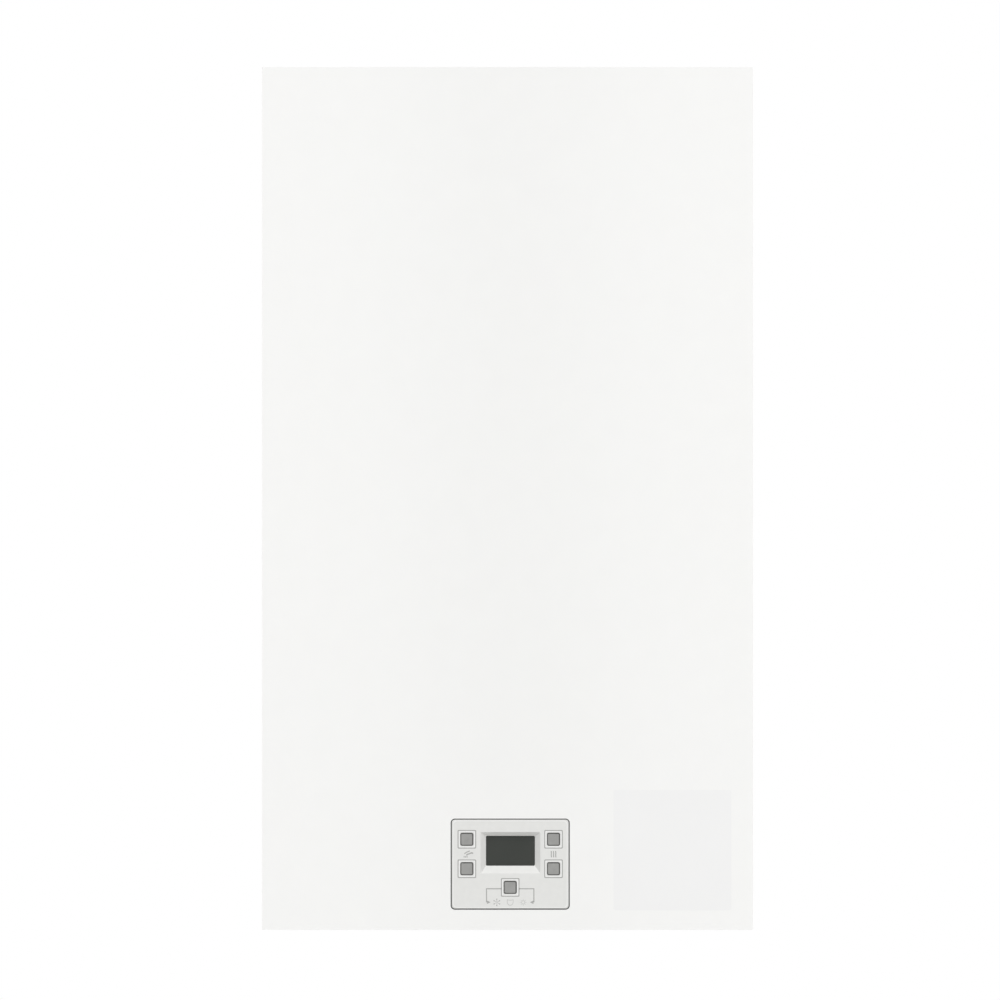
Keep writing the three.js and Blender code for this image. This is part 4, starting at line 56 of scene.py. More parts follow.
SIDE_BOX_X = {"left": -0.92, "right": 0.94}
SIDE_BOX_Y = -6.0
SIDE_BOX_Z = -0.5
SIDE_BOX_SIZE = (1.6, 2.4)
SIDE_BOX_WATTS = 17
HIGH_BOX_PLACE = (1.3, -7.6, 8.2)
HIGH_BOX_AIM = (0, -0.3, -0.35)
HIGH_BOX_SIZE = (4.0, 4.0)
HIGH_BOX_WATTS = 555


def linear(hex_colour, alpha=1.0):
    """An sRGB hex colour as linear red, green, blue and alpha: each channel c becomes c / 12.92 up
    to 0.04045, and ((c + 0.055) / 1.055) to the power 2.4 above it."""
    channels = []
    for shift in (16, 8, 0):
        c = ((hex_colour >> shift) & 255) / 255
        channels.append(c / 12.92 if c <= 0.04045 else ((c + 0.055) / 1.055) ** 2.4)
    return (*channels, alpha)


def add(tree, kind, inputs=None, **settings):
    """Adds a node of that kind to the tree, sets its settings, and fills or links its inputs: a
    value goes onto the socket, and another node's output socket is linked to it."""
    made = tree.nodes.new(kind)
    for name, value in settings.items():
        setattr(made, name, value)
    for key, value in (inputs or {}).items():
        if isinstance(value, bpy.types.NodeSocket):
            tree.links.new(value, made.inputs[key])
        else:
            made.inputs[key].default_value = value
    return made


def mesh_object(name, points, faces, smooth=False):
    """A mesh object of these corner points, in metres, and faces, with its place in its mesh."""
    mesh = bpy.data.meshes.new(name)
    corners = np.asarray(points, float).reshape(-1, 3).tolist()
    mesh.from_pydata(corners, [], [list(map(int, face)) for face in faces])
    mesh.validate()
    mesh.polygons.foreach_set("use_smooth", [smooth] * len(mesh.polygons))
    made = bpy.data.objects.new(name, mesh)
    bpy.context.scene.collection.objects.link(made)
    return made


def soft_box(name, place, aim, size, watts):
    """A rectangular soft light of that width and height at place, turned towards aim."""
    lamp = bpy.data.lights.new(name, "AREA")
    lamp.shape, lamp.energy = "RECTANGLE", watts
    lamp.size, lamp.size_y = size
    made = bpy.data.objects.new(name, lamp)
    made.location = place
    made.rotation_euler = (Vector(aim) - Vector(place)).to_track_quat("-Z", "Y").to_euler()
    bpy.context.scene.collection.objects.link(made)
    return made


photo_metres_per_px = PHOTO_MM_PER_PX / 1000
off_centre_px = np.subtract(PHOTO_SIDE_PX / 2, CASING_MIDDLE_PX)
view_x = CASING_MIDDLE_X + off_centre_px[0] * photo_metres_per_px
view_z = CASING_MIDDLE_Z - off_centre_px[1] * photo_metres_per_px
lens = bpy.data.cameras.new("camera")
lens.sensor_width = SENSOR_MM
lens.lens = SENSOR_MM * CAMERA_DISTANCE / (PHOTO_SIDE_PX * photo_metres_per_px)
lens.clip_end = CAMERA_REACH
camera = bpy.data.objects.new("camera", lens)
camera.location = (view_x, CASING_FRONT_Y - CAMERA_DISTANCE, view_z)
camera.rotation_euler = (math.pi / 2, 0, 0)
bpy.context.scene.collection.objects.link(camera)
bpy.context.scene.camera = camera
bpy.context.scene.view_settings.view_transform = "Standard"

world = bpy.data.worlds.new("white_sweep")
bpy.context.scene.world = world
world.use_nodes = True
sky = world.node_tree
sky.nodes.clear()
seen = add(sky, "ShaderNodeBackground", {"Color": (1, 1, 1, 1), "Strength": SWEEP_SEEN})
lit = add(sky, "ShaderNodeBackground", {"Color": (1, 1, 1, 1), "Strength": SWEEP_LIGHT})
ray = add(sky, "ShaderNodeLightPath")
either = add(sky, "ShaderNodeMixShader", {
    "Fac": ray.outputs["Is Camera Ray"], 1: lit.outputs[0], 2: seen.outputs[0]})
add(sky, "ShaderNodeOutputWorld", {"Surface": either.outputs[0]})

for side, box_x in SIDE_BOX_X.items():
    soft_box("soft_box_" + side, (box_x, SIDE_BOX_Y, SIDE_BOX_Z), (box_x, 0, SIDE_BOX_Z),
             SIDE_BOX_SIZE, SIDE_BOX_WATTS)
soft_box("soft_box_high_right", HIGH_BOX_PLACE, HIGH_BOX_AIM, HIGH_BOX_SIZE, HIGH_BOX_WATTS)

floor_turn = np.linspace(0, 2 * np.pi, FLOOR_CORNERS + 1)[:-1]
floor_edge = FLOOR_RADIUS * np.stack([np.cos(floor_turn), np.sin(floor_turn)], 1)
floor = mesh_object("studio_floor", np.c_[floor_edge, np.full(FLOOR_CORNERS, FLOOR_Z)],
                    [range(FLOOR_CORNERS)])
paint = bpy.data.materials.new("matt_studio_floor_paint")
paint.use_nodes = True
shader = paint.node_tree.nodes["Principled BSDF"]
shader.inputs["Base Color"].default_value = linear(0xECECEA)
shader.inputs["Roughness"].default_value = FLOOR_ROUGHNESS
shader.inputs["Emission Color"].default_value = linear(0xFFFFFF)
floor_ray = add(paint.node_tree, "ShaderNodeLightPath")
lift = add(paint.node_tree, "ShaderNodeMath", {
    0: floor_ray.outputs["Is Camera Ray"], 1: FLOOR_LIFT_SEEN}, operation="MULTIPLY")
paint.node_tree.links.new(lift.outputs["Value"], shader.inputs["Emission Strength"])
floor.data.materials.append(paint)


# ----------------------------------------------------------
# Front casing: one shell of 1.2 mm steel sheet, folded at the sides, top and bottom and coated in
# white powder that is baked on. It flows out to a faint orange peel, which only its gloss shows.
POWDER_WHITE = 0xF6F6F5
POWDER_SHADE = 0xF5F5F4
ORANGE_PEEL_MM = 1.8
ORANGE_PEEL_DEPTH_MM = 0.006
POWDER_ROUGHNESS = 0.13
POWDER_SPREAD = 0.005


def finish(name, light, dark, grain_mm, depth_mm, roughness, spread, metallic=0.0,
           stretch=(1, 1, 1), **special):
    """A material whose colour wanders from one sRGB hex colour to another over patches twelve
    grains wide, whose surface is raised and sunk by depth_mm over each grain, and whose roughness
    wanders by spread. stretch is how many times finer the grain runs along x, y and z. special
    sets the shader's other sockets."""
    made = bpy.data.materials.new(name)
    made.use_nodes = True
    tree = made.node_tree
    shader = tree.nodes["Principled BSDF"]
    shader.inputs["Metallic"].default_value = metallic
    for socket, value in special.items():
        shader.inputs[socket.replace("_", " ")].default_value = value
    place = add(tree, "ShaderNodeTexCoord")
    along = add(tree, "ShaderNodeMapping", {"Vector": place.outputs["Object"], "Scale": stretch})
    fine = add(tree, "ShaderNodeTexNoise", {
        "Vector": along.outputs[0], "Scale": 1000 / grain_mm, "Detail": 2.0})
    wide = add(tree, "ShaderNodeTexNoise", {
        "Vector": along.outputs[0], "Scale": 1000 / (12 * grain_mm), "Detail": 3.0})
    tint = add(tree, "ShaderNodeValToRGB", {"Fac": wide.outputs["Fac"]})
    low, high = tint.color_ramp.elements
    low.position, high.position = 0.3, 0.7
    low.color, high.color = linear(dark), linear(light)
    gloss = add(tree, "ShaderNodeMapRange", {
        "Value": wide.outputs["Fac"], "To Min": roughness - spread, "To Max": roughness + spread})
    relief = add(tree, "ShaderNodeBump", {
        "Height": fine.outputs["Fac"], "Distance": depth_mm / 1000, "Strength": 1.0})
    tree.links.new(tint.outputs["Color"], shader.inputs["Base Color"])
    tree.links.new(gloss.outputs["Result"], shader.inputs["Roughness"])
    tree.links.new(relief.outputs["Normal"], shader.inputs["Normal"])
    return made


def dress(material, *nodes):
    """Gives these CAD nodes that material in every slot they have."""
    for node in nodes:
        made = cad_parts[node]
        if not made.data.materials:
            made.data.materials.append(material)
        for used in made.material_slots:
            used.material = material


powder_coat = finish("white_powder_coated_steel", POWDER_WHITE, POWDER_SHADE, ORANGE_PEEL_MM,
                     ORANGE_PEEL_DEPTH_MM, POWDER_ROUGHNESS, POWDER_SPREAD)
dress(powder_coat, "front_casing")


# ----------------------------------------------------------
# Wall frame, bottom bracket, sealed chamber and its cover: hot-dip galvanised sheet, pressed and
# folded. The zinc freezes in spangles, flat crystals about 9 mm across that each take the light in
# their own way.
ZINC_LIGHT = 0xC8CBCD
ZINC_DARK = 0xABB0B3
ZINC_METALLIC = 0.85
SPANGLE_MM = 9.0
SPANGLE_ROUGHNESS = (0.34, 0.52)
BLOOM_MM = 60
BLOOM_DEPTH_MM = 0.4

galvanised = bpy.data.materials.new("hot_dip_galvanised_steel")
galvanised.use_nodes = True
zinc = galvanised.node_tree
shader = zinc.nodes["Principled BSDF"]
shader.inputs["Metallic"].default_value = ZINC_METALLIC
zinc_place = add(zinc, "ShaderNodeTexCoord")
spangle = add(zinc, "ShaderNodeTexVoronoi", {
    "Vector": zinc_place.outputs["Object"], "Scale": 1000 / SPANGLE_MM, "Randomness": 1.0})
bloom = add(zinc, "ShaderNodeTexNoise", {
    "Vector": zinc_place.outputs["Object"], "Scale": 1000 / BLOOM_MM, "Detail": 4.0})
crystal = add(zinc, "ShaderNodeSeparateColor", {"Color": spangle.outputs["Color"]})
tint = add(zinc, "ShaderNodeValToRGB", {"Fac": crystal.outputs["Red"]})
zinc_low, zinc_high = tint.color_ramp.elements
zinc_low.color, zinc_high.color = linear(ZINC_DARK), linear(ZINC_LIGHT)
dull = add(zinc, "ShaderNodeMapRange", {
    "Value": crystal.outputs["Green"],
    "To Min": SPANGLE_ROUGHNESS[0], "To Max": SPANGLE_ROUGHNESS[1]})
skin = add(zinc, "ShaderNodeBump", {
    "Height": bloom.outputs["Fac"], "Distance": BLOOM_DEPTH_MM / 1000, "Strength": 0.5})
zinc.links.new(tint.outputs["Color"], shader.inputs["Base Color"])
zinc.links.new(dull.outputs["Result"], shader.inputs["Roughness"])
zinc.links.new(skin.outputs["Normal"], shader.inputs["Normal"])
dress(galvanised, "wall_frame", "bottom_bracket", "chamber_box", "chamber_cover")


# ----------------------------------------------------------
# Control fascia: a light grey moulding of ABS with a spark-eroded texture, 1.2 mm in from the
# window's edge all round, with a bevelled hollow for the display and five square button holes.
FASCIA_GREY = 0xE6E6E4
FASCIA_GREY_DEEP = 0xE3E3E1
SPARK_GRAIN_MM = 0.35
SPARK_DEPTH_MM = 0.004

moulded_abs = finish("moulded_grey_abs", FASCIA_GREY, FASCIA_GREY_DEEP, SPARK_GRAIN_MM,
                     SPARK_DEPTH_MM, 0.42, 0.03)
dress(moulded_abs, "fascia")


# ----------------------------------------------------------
# Display module: a liquid-crystal cell behind a dark acrylic window, held in a moulded carrier. It
# is switched off, so it shows only the smoked grey-green of the unlit cell under a smooth gloss.
UNLIT_CELL = 0x363935
UNLIT_CELL_DEEP = 0x333632
ACRYLIC_IOR = 1.49

smoked_window = finish("smoked_acrylic_display_window", UNLIT_CELL, UNLIT_CELL_DEEP, 3.0, 0.001,
                       0.12, 0.02, IOR=ACRYLIC_IOR, Specular_IOR_Level=0.3)
dress(smoked_window, "display_module")


# ----------------------------------------------------------
# Buttons: moulded silicone rubber caps, mid grey and matt. Four of them step a value up or down,
# and the fifth, which changes the mode, is plain.
RUBBER_GREY = 0xA0A09E
RUBBER_GREY_DEEP = 0x9A9A98
STEP_BUTTONS = ("hot_water_plus", "hot_water_minus", "heating_plus", "heating_minus")

silicone_rubber = finish("moulded_grey_silicone_rubber", RUBBER_GREY, RUBBER_GREY_DEEP, 0.4, 0.006,
                         0.6, 0.04)
dress(silicone_rubber, *STEP_BUTTONS, "mode_button")


# ----------------------------------------------------------
# Printed signs on the fascia, pad-printed 0.03 mm thick in greys and white: a square and a white
# ring round each button, a tap, a radiator's three bars, and a fork from the mode button to a
# snowflake, a shield and a sun. A white line, 0.12 mm high, runs round the whole fascia's edge: a
# painted highlight where a rounded edge would catch the light.
PANEL_X = 0.0022
PANEL_Z = -0.6014
PANEL_FRONT_Y = -0.2995
INK_MM = 0.03
LINE_MM = 0.85
FINE_LINE_MM = 0.6
BUTTON_PLACES = {
    "hot_water_plus": (-35.3, 20.3),
    "hot_water_minus": (-35.3, -3.7),
    "heating_plus": (35.3, 20.3),
    "heating_minus": (35.3, -3.7),
    "mode_button": (0.0, -18.9),
}
SQUARE_MM = 14.3
SQUARE_CORNER_MM = 0.5
CORNER_POINTS = 5
SHARPEST_COSINE = 0.4


def strip(path, width, closed):
    """Left and right edge of a flat strip of that width along a path of (x, z) points: each point
    is moved by half the width along the mean of its two segments' normals, over the cosine of the
    half turn, so that the strip keeps its width round a corner."""
    path = np.asarray(path, float)
    ahead = np.roll(path, -1, 0) - path
    if not closed:
        ahead[-1] = ahead[-2]
    normal = np.stack([-ahead[:, 1], ahead[:, 0]], 1) / np.linalg.norm(ahead, axis=1)[:, None]
    before = np.roll(normal, 1, 0)
    if not closed:
        before[0] = normal[0]
    mean = normal + before
    mean /= np.linalg.norm(mean, axis=1)[:, None]
    reach = width / 2 / np.clip((mean * normal).sum(1), SHARPEST_COSINE, 1)[:, None]
    return path + mean * reach, path - mean * reach


def outward(made):
    """Turns every face of a closed mesh outwards."""
    work = bmesh.new()
    work.from_mesh(made.data)
    bmesh.ops.recalc_face_normals(work, faces=work.faces)
    work.to_mesh(made.data)
    work.free()


def printed(name, strokes, base_y, raised):
    """One mesh of flat strokes raised by that many mm from the plane y = base_y towards the front.
    Each stroke is (points, width, closed) in mm from the panel's middle, (x, z), and becomes a
    strip of four faces a step, with an end face at each end where it isn't closed."""
    front_y = base_y - raised / 1000
    points, faces, start = [], [], 0
    for path, width, closed in strokes:
        left, right = strip(path, width, closed)
        count = len(left)
        for edge, y in ((left, base_y), (right, base_y), (right, front_y), (left, front_y)):
            across, up = PANEL_X + edge[:, 0] / 1000, PANEL_Z + edge[:, 1] / 1000
            points.append(np.stack([across, np.full(count, y), up], 1))
        here = np.arange(count if closed else count - 1)
        there = (here + 1) % count
        for side in range(4):
            a, b = start + side * count, start + (side + 1) % 4 * count
            faces += np.stack([a + here, a + there, b + there, b + here], 1).tolist()
        if not closed:
            end = start + count * np.arange(4)
            faces += [end[::-1].tolist(), (end + count - 1).tolist()]
        start += 4 * count
    made = mesh_object(name, np.concatenate(points), faces)
    outward(made)
    return made


def circle(x, z, radius, count=24, start=0.0, sweep=2 * np.pi):
    """Points (x, z) at even angles round a centre; a full circle leaves out its last point."""
    turn = start + sweep * np.arange(count) / (count if sweep == 2 * np.pi else count - 1)
    return np.stack([x + radius * np.cos(turn), z + radius * np.sin(turn)], 1)


def rounded_rectangle(x, z, width, height, radius, count):
    """The outline of a rectangle round (x, z), with a quarter circle of count points at each
    corner."""
    quarter = np.pi / 2
    return np.concatenate([
        circle(x + sx * (width / 2 - radius), z + sz * (height / 2 - radius), radius, count,
               turn * quarter, quarter)
        for turn, (sx, sz) in enumerate([(1, 1), (-1, 1), (-1, -1), (1, -1)])])


def rounded_square(place, side, radius):
    """The outline of a square round that place."""
    return rounded_rectangle(*place, side, side, radius, CORNER_POINTS)


def spokes(place, inner, outer, width, angles):
    """Short strokes that point away from a place, from the inner radius to the outer one."""
    return [([np.add(place, (r * np.cos(a), r * np.sin(a))) for r in (inner, outer)], width, False)
            for a in angles]


ink = finish("grey_pad_printing_ink", 0xAFAFAD, 0xABABA9, 0.5, 0.001, 0.5, 0.02)
faint_ink = finish("pale_grey_pad_printing_ink", 0xCDCDCB, 0xC9C9C7, 0.5, 0.001, 0.5, 0.02)
# The white ink prints the rings round the buttons, and also paints the highlight on the fascia's
# edge.
white_ink_and_painted_highlight = finish("white_printing_ink_and_painted_highlight", 0xF3F3F2, 0xF0F0EF, 0.5, 0.001, 0.4, 0.02)

FORK_Z = -20.0
FORK_X = 19.3
FORK_FOOT_Z = -31.0
ARROW_MM = 2.0
ARROW_BACK_MM = 0.4
ARROW_HALF_MM = 0.8
ARROW_LINE_MM = 1.1
lines = [(rounded_square(place, SQUARE_MM, SQUARE_CORNER_MM), LINE_MM, True)
         for place in BUTTON_PLACES.values()]
fork = [(SQUARE_MM / 2, FORK_Z), (FORK_X, FORK_Z), (FORK_X, FORK_FOOT_Z)]
arrow = [(FORK_X - ARROW_BACK_MM, FORK_FOOT_Z + ARROW_HALF_MM), (FORK_X - ARROW_MM, FORK_FOOT_Z),
         (FORK_X - ARROW_BACK_MM, FORK_FOOT_Z - ARROW_HALF_MM)]
for side in (-1, 1):
    lines.append((np.multiply(fork, (side, 1)), LINE_MM, False))
    lines.append((np.multiply(arrow, (side, 1)), ARROW_LINE_MM, False))
button_frames = printed("printed_lines", lines, PANEL_FRONT_Y, INK_MM)

TAP = (-34.0, 8.3)
SPOUT_LINE_MM = 1.1
DROP_LINE_MM = 0.75
spout = [(3.8, 0.4), (2.6, 1.0), (0.6, 0.2), (-0.8, -0.2), (-1.7, -1.1)]
lever = [(1.0, 2.5), (-1.4, 1.5), (-3.4, 0.3)]
tap = [(np.add(TAP, spout), SPOUT_LINE_MM, False), (np.add(TAP, lever), LINE_MM, False)]
tap += [(np.add(TAP, [(x, -1.6), (x, -2.9)]), DROP_LINE_MM, False) for x in (-3.5, -2.3, -1.1)]

RADIATOR = (35.3, 8.2)
BAR_HALF_MM = 2.6
BAR_SWAY_MM = 0.1
BAR_LINE_MM = 0.8
rise = np.linspace(-BAR_HALF_MM, BAR_HALF_MM, 17)
sway = BAR_SWAY_MM * np.sin(rise * 2.4)
bars = [(np.add(RADIATOR, np.stack([x + sway, rise], 1)), BAR_LINE_MM, False)
        for x in (-1.8, 0.0, 1.8)]

SIGN_Z = -31.1
SNOWFLAKE = (-10.9, SIGN_Z)
snow_angles = np.deg2rad(np.arange(6) * 60 + 30)
snow = spokes(SNOWFLAKE, 0.3, 2.2, 0.3, snow_angles)
snow += spokes(SNOWFLAKE, 2.1, 3.0, 0.8, snow_angles)
signs = printed("printed_tap_radiator_and_snowflake", tap + bars + snow, PANEL_FRONT_Y, INK_MM)

SHIELD_HALF_MM = 2.4
SHIELD_POINTS = 11
shield_top = [(SHIELD_HALF_MM, SIGN_Z + 2.1), (0, SIGN_Z + 1.7), (-SHIELD_HALF_MM, SIGN_Z + 2.1)]
shield_foot = circle(0, 0.2, SHIELD_HALF_MM, SHIELD_POINTS, np.pi, np.pi) * (1, 1.1) + (0, SIGN_Z)
shield = [(np.concatenate([shield_top, shield_foot]), FINE_LINE_MM, True)]
SUN = (10.6, SIGN_Z)
SUN_R_MM = 1.35
sun = [(circle(*SUN, SUN_R_MM), FINE_LINE_MM, True)]
sun += spokes(SUN, 1.9, 2.7, 0.4, np.deg2rad(np.arange(8) * 45))
faint_signs = printed("printed_shield_and_sun", shield + sun, PANEL_FRONT_Y, INK_MM)

WHITE_RING_MM = 12.65
WHITE_RING_LINE_MM = 0.8
ring_paths = [(rounded_square(place, WHITE_RING_MM, 0.8), WHITE_RING_LINE_MM, True)
              for place in BUTTON_PLACES.values()]
white_rings = printed("printed_white_rings", ring_paths, PANEL_FRONT_Y, INK_MM)

# Painted highlight: a strip 0.12 mm high round the fascia's edge, whose top takes real light, in
# white ink lighter than the fascia, standing in for light caught by a rounded edge.
EDGE_W = 93.1
EDGE_H = 70.4
EDGE_CORNER_MM = 3.2
EDGE_LINE_MM = 0.7
EDGE_RAISED_MM = 0.12
edge_path = rounded_rectangle(0, 0, EDGE_W, EDGE_H, EDGE_CORNER_MM, 6)
edge_highlight = printed("fascia_edge_painted_highlight", [(edge_path, EDGE_LINE_MM, True)], PANEL_FRONT_Y,
                    EDGE_RAISED_MM)

for piece, used in ((button_frames, ink), (signs, ink), (faint_signs, faint_ink),
                    (white_rings, white_ink_and_painted_highlight), (edge_highlight, white_ink_and_painted_highlight)):
    piece.data.materials.append(used)
    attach(piece, "control")


# ----------------------------------------------------------
# Raised signs and painted shade on the button caps: a plus on the two upper step buttons and a
# minus on the two lower ones, moulded with the cap and 0.15 mm high. A dark line round each of the
# five caps is painted shade for the gap round the cap, and a second line inside its top and right
# is painted shadow, where the cap lies in the hollow's shade.
BUTTON_FRONT_Y = -0.2991
EMBOSS_MM = 0.15
SIGN_ARM_MM = 1.9
SIGN_GAP_MM = 0.4
SIGN_LINE_MM = 0.8
RIM_MM = 9.75
RIM_CORNER_MM = 1.2
RIM_LINE_MM = 0.4
RIM_RAISED_MM = 0.02
SHADE_IN_MM = 0.3
SHADE_END_MM = 1.0
SHADE_LINE_MM = 0.5

# Painted shade: this dark grey stands in for the shadow in the gap round each cap and for the
# hollow's shadow on the cap's top and right.
painted_rim_shade = finish("painted_shade_round_button_caps", 0x6E6E6C, 0x686866, 0.5, 0.002, 0.7, 0.05)
near, far = RIM_MM / 2 - SHADE_IN_MM, RIM_MM / 2 - SHADE_END_MM
shade = [(-far, near), (far, near), (near, far), (near, -far)]
for button, place in BUTTON_PLACES.items():
    shaded = [(rounded_square(place, RIM_MM, RIM_CORNER_MM), RIM_LINE_MM, True),
              (np.add(place, shade), SHADE_LINE_MM, False)]
    rim = printed("rim_" + button, shaded, BUTTON_FRONT_Y, RIM_RAISED_MM)
    rim.data.materials.append(painted_rim_shade)
    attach(rim, button)

for button in STEP_BUTTONS:
    arms = [[(-SIGN_ARM_MM, 0), (SIGN_ARM_MM, 0)]]
    if button.endswith("plus"):
        arms += [[(0, SIGN_GAP_MM), (0, SIGN_ARM_MM)], [(0, -SIGN_GAP_MM), (0, -SIGN_ARM_MM)]]
    strokes = [(np.add(BUTTON_PLACES[button], arm), SIGN_LINE_MM, False) for arm in arms]
    raised = printed("raised_sign_" + button, strokes, BUTTON_FRONT_Y, EMBOSS_MM)
    raised.data.materials.append(silicone_rubber)
    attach(raised, button)


# ----------------------------------------------------------
# Film label: clear vinyl film, nearly square, stuck on the casing's front at the lower right and
# left blank here. It is only 0.08 mm thick and shows as a trace of grey and a change of gloss.
FILM_X = 0.1344
FILM_Z = -0.5900
FILM_W = 96.0
FILM_H = 98.0
FILM_CORNER = 2.0
FILM_MM = 0.08

film_rim = rounded_rectangle(0, 0, FILM_W, FILM_H, FILM_CORNER, 6) / 1000 + (FILM_X, FILM_Z)
count = len(film_rim)
film_levels = [np.insert(film_rim, 1, y, axis=1)
               for y in (CASING_FRONT_Y, CASING_FRONT_Y - FILM_MM / 1000)]
here = np.arange(count)
there = (here + 1) % count
film_sides = np.stack([here, there, count + there, count + here], 1).tolist()
film_ends = [here.tolist(), (count + here)[::-1].tolist()]
film = mesh_object("blank_film_label", np.concatenate(film_levels), film_ends + film_sides)
outward(film)
film.data.materials.append(
    finish("clear_vinyl_film_on_white", 0xF3F3F3, 0xF2F2F2, 4.0, 0.002, 0.2, 0.02))
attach(film, "casing")


# ----------------------------------------------------------
# Gas pipes, burner manifold and casing screws: turned or bent steel, bright-plated in zinc. The
# plating gives an even, slightly clouded silver with a soft gloss.
zinc_plate = finish("zinc_plated_steel", 0xC9CBCA, 0xB2B5B4, 1.2, 0.004, 0.33, 0.07, 1.0)
dress(zinc_plate, "casing_screw_left", "casing_screw_right", "burner_manifold", "gas_inlet_pipe",
      "gas_outlet_pipe")


# ----------------------------------------------------------
# Combustion shell, its front, flue hood, fan scroll and wheel: aluminised steel sheet, folded and
# spot-welded. The coating is greyer and duller than zinc, and clouded in wide soft patches.
aluminised = finish("aluminised_steel_sheet", 0xC6C9CA, 0xAEB1B2, 2.5, 0.008, 0.42, 0.08, 1.0)
dress(aluminised, "combustion_chamber", "combustion_front", "flue_hood", "fan_scroll",
      "fan_impeller")


# ----------------------------------------------------------
# Expansion vessel: two pressed steel halves seamed at the rim and stove-enamelled red, as pressure
# vessels are. The enamel is an even red with a half gloss that follows the domes.
red_enamel = finish("red_stove_enamel", 0xA8221E, 0x9A1E1A, 1.6, 0.008, 0.35, 0.04)
dress(red_enamel, "expansion_vessel")


# ----------------------------------------------------------
# Burner, plate heat exchanger and valve spindle: rolled stainless sheet and bar. The rolling leaves
# fine lines one way, and the grey is a little warmer than the plated steel beside it.
ROLLED_UPRIGHT = (1, 1, 12)

stainless = finish("rolled_stainless_sheet", 0xC2BFB9, 0xADAAA4, 0.5, 0.003, 0.28, 0.05, 1.0,
                   ROLLED_UPRIGHT)
dress(stainless, "burner", "plate_heat_exchanger", "three_way_spindle")


# ----------------------------------------------------------
# Firebox lining: boards of ceramic fibre, vacuum-formed round the firebox and held by its sheet.
# They are cream, quite matt, and rough like felt.
fibre_board = finish("vacuum_formed_ceramic_fibre", 0xF1ECE1, 0xE2DACA, 1.4, 0.25, 0.95, 0.03)
dress(fibre_board, "fibre_lining", "fibre_front")


# ----------------------------------------------------------
# Main heat exchanger and water pipes: drawn copper, bent and brazed. Handling and heat leave broad
# patches of darker, browner copper between bright ones.
drawn_copper = finish("drawn_copper_tube", 0xC98158, 0xA9633F, 3.0, 0.01, 0.34, 0.08, 1.0)
dress(drawn_copper, "main_heat_exchanger", "flow_pipe", "return_pipe", "vessel_pipe")


# ----------------------------------------------------------
# Hydraulic groups and screwed tails: brass cast in sand and then bored and threaded. The skin of
# the sand shows as a grain about 1 mm wide over a dull yellow metal.
cast_brass = finish("sand_cast_brass", 0xC2A268, 0xA68850, 0.9, 0.05, 0.46, 0.08, 0.9)
dress(cast_brass, "flow_group", "return_group", "cold_water_tail", "heating_return_tail")


# ----------------------------------------------------------
# Gas valve body and flue socket: aluminium cast in a steel die, so the skin is finer and paler than
# the brass, with a light frosting.
cast_aluminium = finish("die_cast_aluminium", 0xC4C6C7, 0xADB0B1, 0.8, 0.03, 0.44, 0.06, 1.0)
dress(cast_aluminium, "gas_valve", "flue_socket")


# ----------------------------------------------------------
# Fan and pump motors: a stack of sheets and a drawn can under clear lacquer, which turns the steel
# into a dull mid grey.
dull_lacquer = finish("lacquered_motor_steel", 0x8F9291, 0x7F8281, 1.0, 0.01, 0.45, 0.05, 0.6)
dress(dull_lacquer, "fan_motor", "pump_motor")


# ----------------------------------------------------------
# Control box, its cover and the small fittings: polyamide filled with glass fibre, moulded dark
# grey. The fibres leave a fine matt grain.
dark_polyamide = finish("glass_filled_polyamide", 0x4A4D50, 0x414447, 0.5, 0.012, 0.5, 0.05)
dress(dark_polyamide, "control_box", "control_cover", "air_pressure_switch", "three_way_motor",
      "flow_sensor", "fill_knob", "air_vent_cap", "pressure_gauge")


# ----------------------------------------------------------
# Pump: the volute is moulded in a near-black composite and its wheel in a pale filled plastic that
# is smoother. Both show the colour of the plastic itself, without paint.
pump_composite = finish("moulded_pump_composite", 0x2B2D30, 0x242628, 0.6, 0.015, 0.48, 0.05)
pale_plastic = finish("moulded_impeller_plastic", 0xCFCBBE, 0xC1BDB0, 0.5, 0.006, 0.4, 0.04)
dress(pump_composite, "pump_volute")
dress(pale_plastic, "pump_impeller")


# ----------------------------------------------------------
# Seals and the cord's gland: black EPDM rubber, moulded or cut from sheet and pressed into place.
# It is the darkest and mattest surface of the works.
epdm_rubber = finish("black_epdm_rubber", 0x232425, 0x1C1D1E, 0.7, 0.02, 0.75, 0.06)
dress(epdm_rubber, "cord_gland", "chamber_seal", "flue_seal")


# ----------------------------------------------------------
# Electrodes: a rod in a sleeve of ceramic, fired with a clear glaze that makes the off-white body
# shine. A small bracket holds each one beside the burner.
glazed_ceramic = finish("glazed_white_ceramic", 0xF2F0EA, 0xE9E6DE, 2.0, 0.004, 0.16, 0.03)
dress(glazed_ceramic, "ignition_electrode", "flame_electrode")


# ----------------------------------------------------------
# Relief valve's knob and the gauge's needle: moulded in red plastic, the colour that says which
# fitting to look for when the boiler is serviced.
red_plastic = finish("moulded_red_polypropylene", 0xB8302A, 0xA82A25, 0.5, 0.006, 0.42, 0.04)
dress(red_plastic, "relief_knob", "gauge_needle")


# ----------------------------------------------------------
# See-through pieces: the pressure switch's silicone tube, which is milky and lets a third of the
# light through, and the chamber's sight glass of borosilicate, which is almost clear.
SILICONE_IOR = 1.41
BOROSILICATE_IOR = 1.47

clear_silicone = finish("clear_silicone_tube", 0xE6E8E6, 0xDADDDA, 1.5, 0.004, 0.25, 0.04,
                        Transmission_Weight=0.35, IOR=SILICONE_IOR)
borosilicate = finish("borosilicate_sight_glass", 0xEDF3F3, 0xE6EEEE, 6.0, 0.001, 0.06, 0.02,
                      Transmission_Weight=0.85, IOR=BOROSILICATE_IOR)
dress(clear_silicone, "pressure_tube")
dress(borosilicate, "sight_glass")


# ----------------------------------------------------------
# Circuit board: a glass-cloth laminate under green solder mask, screwed inside the control box. The
# mask gives an even green with a slight gloss.
laminate = finish("solder_masked_laminate", 0x2F6E40, 0x275F36, 1.0, 0.01, 0.38, 0.05)
dress(laminate, "circuit_board")


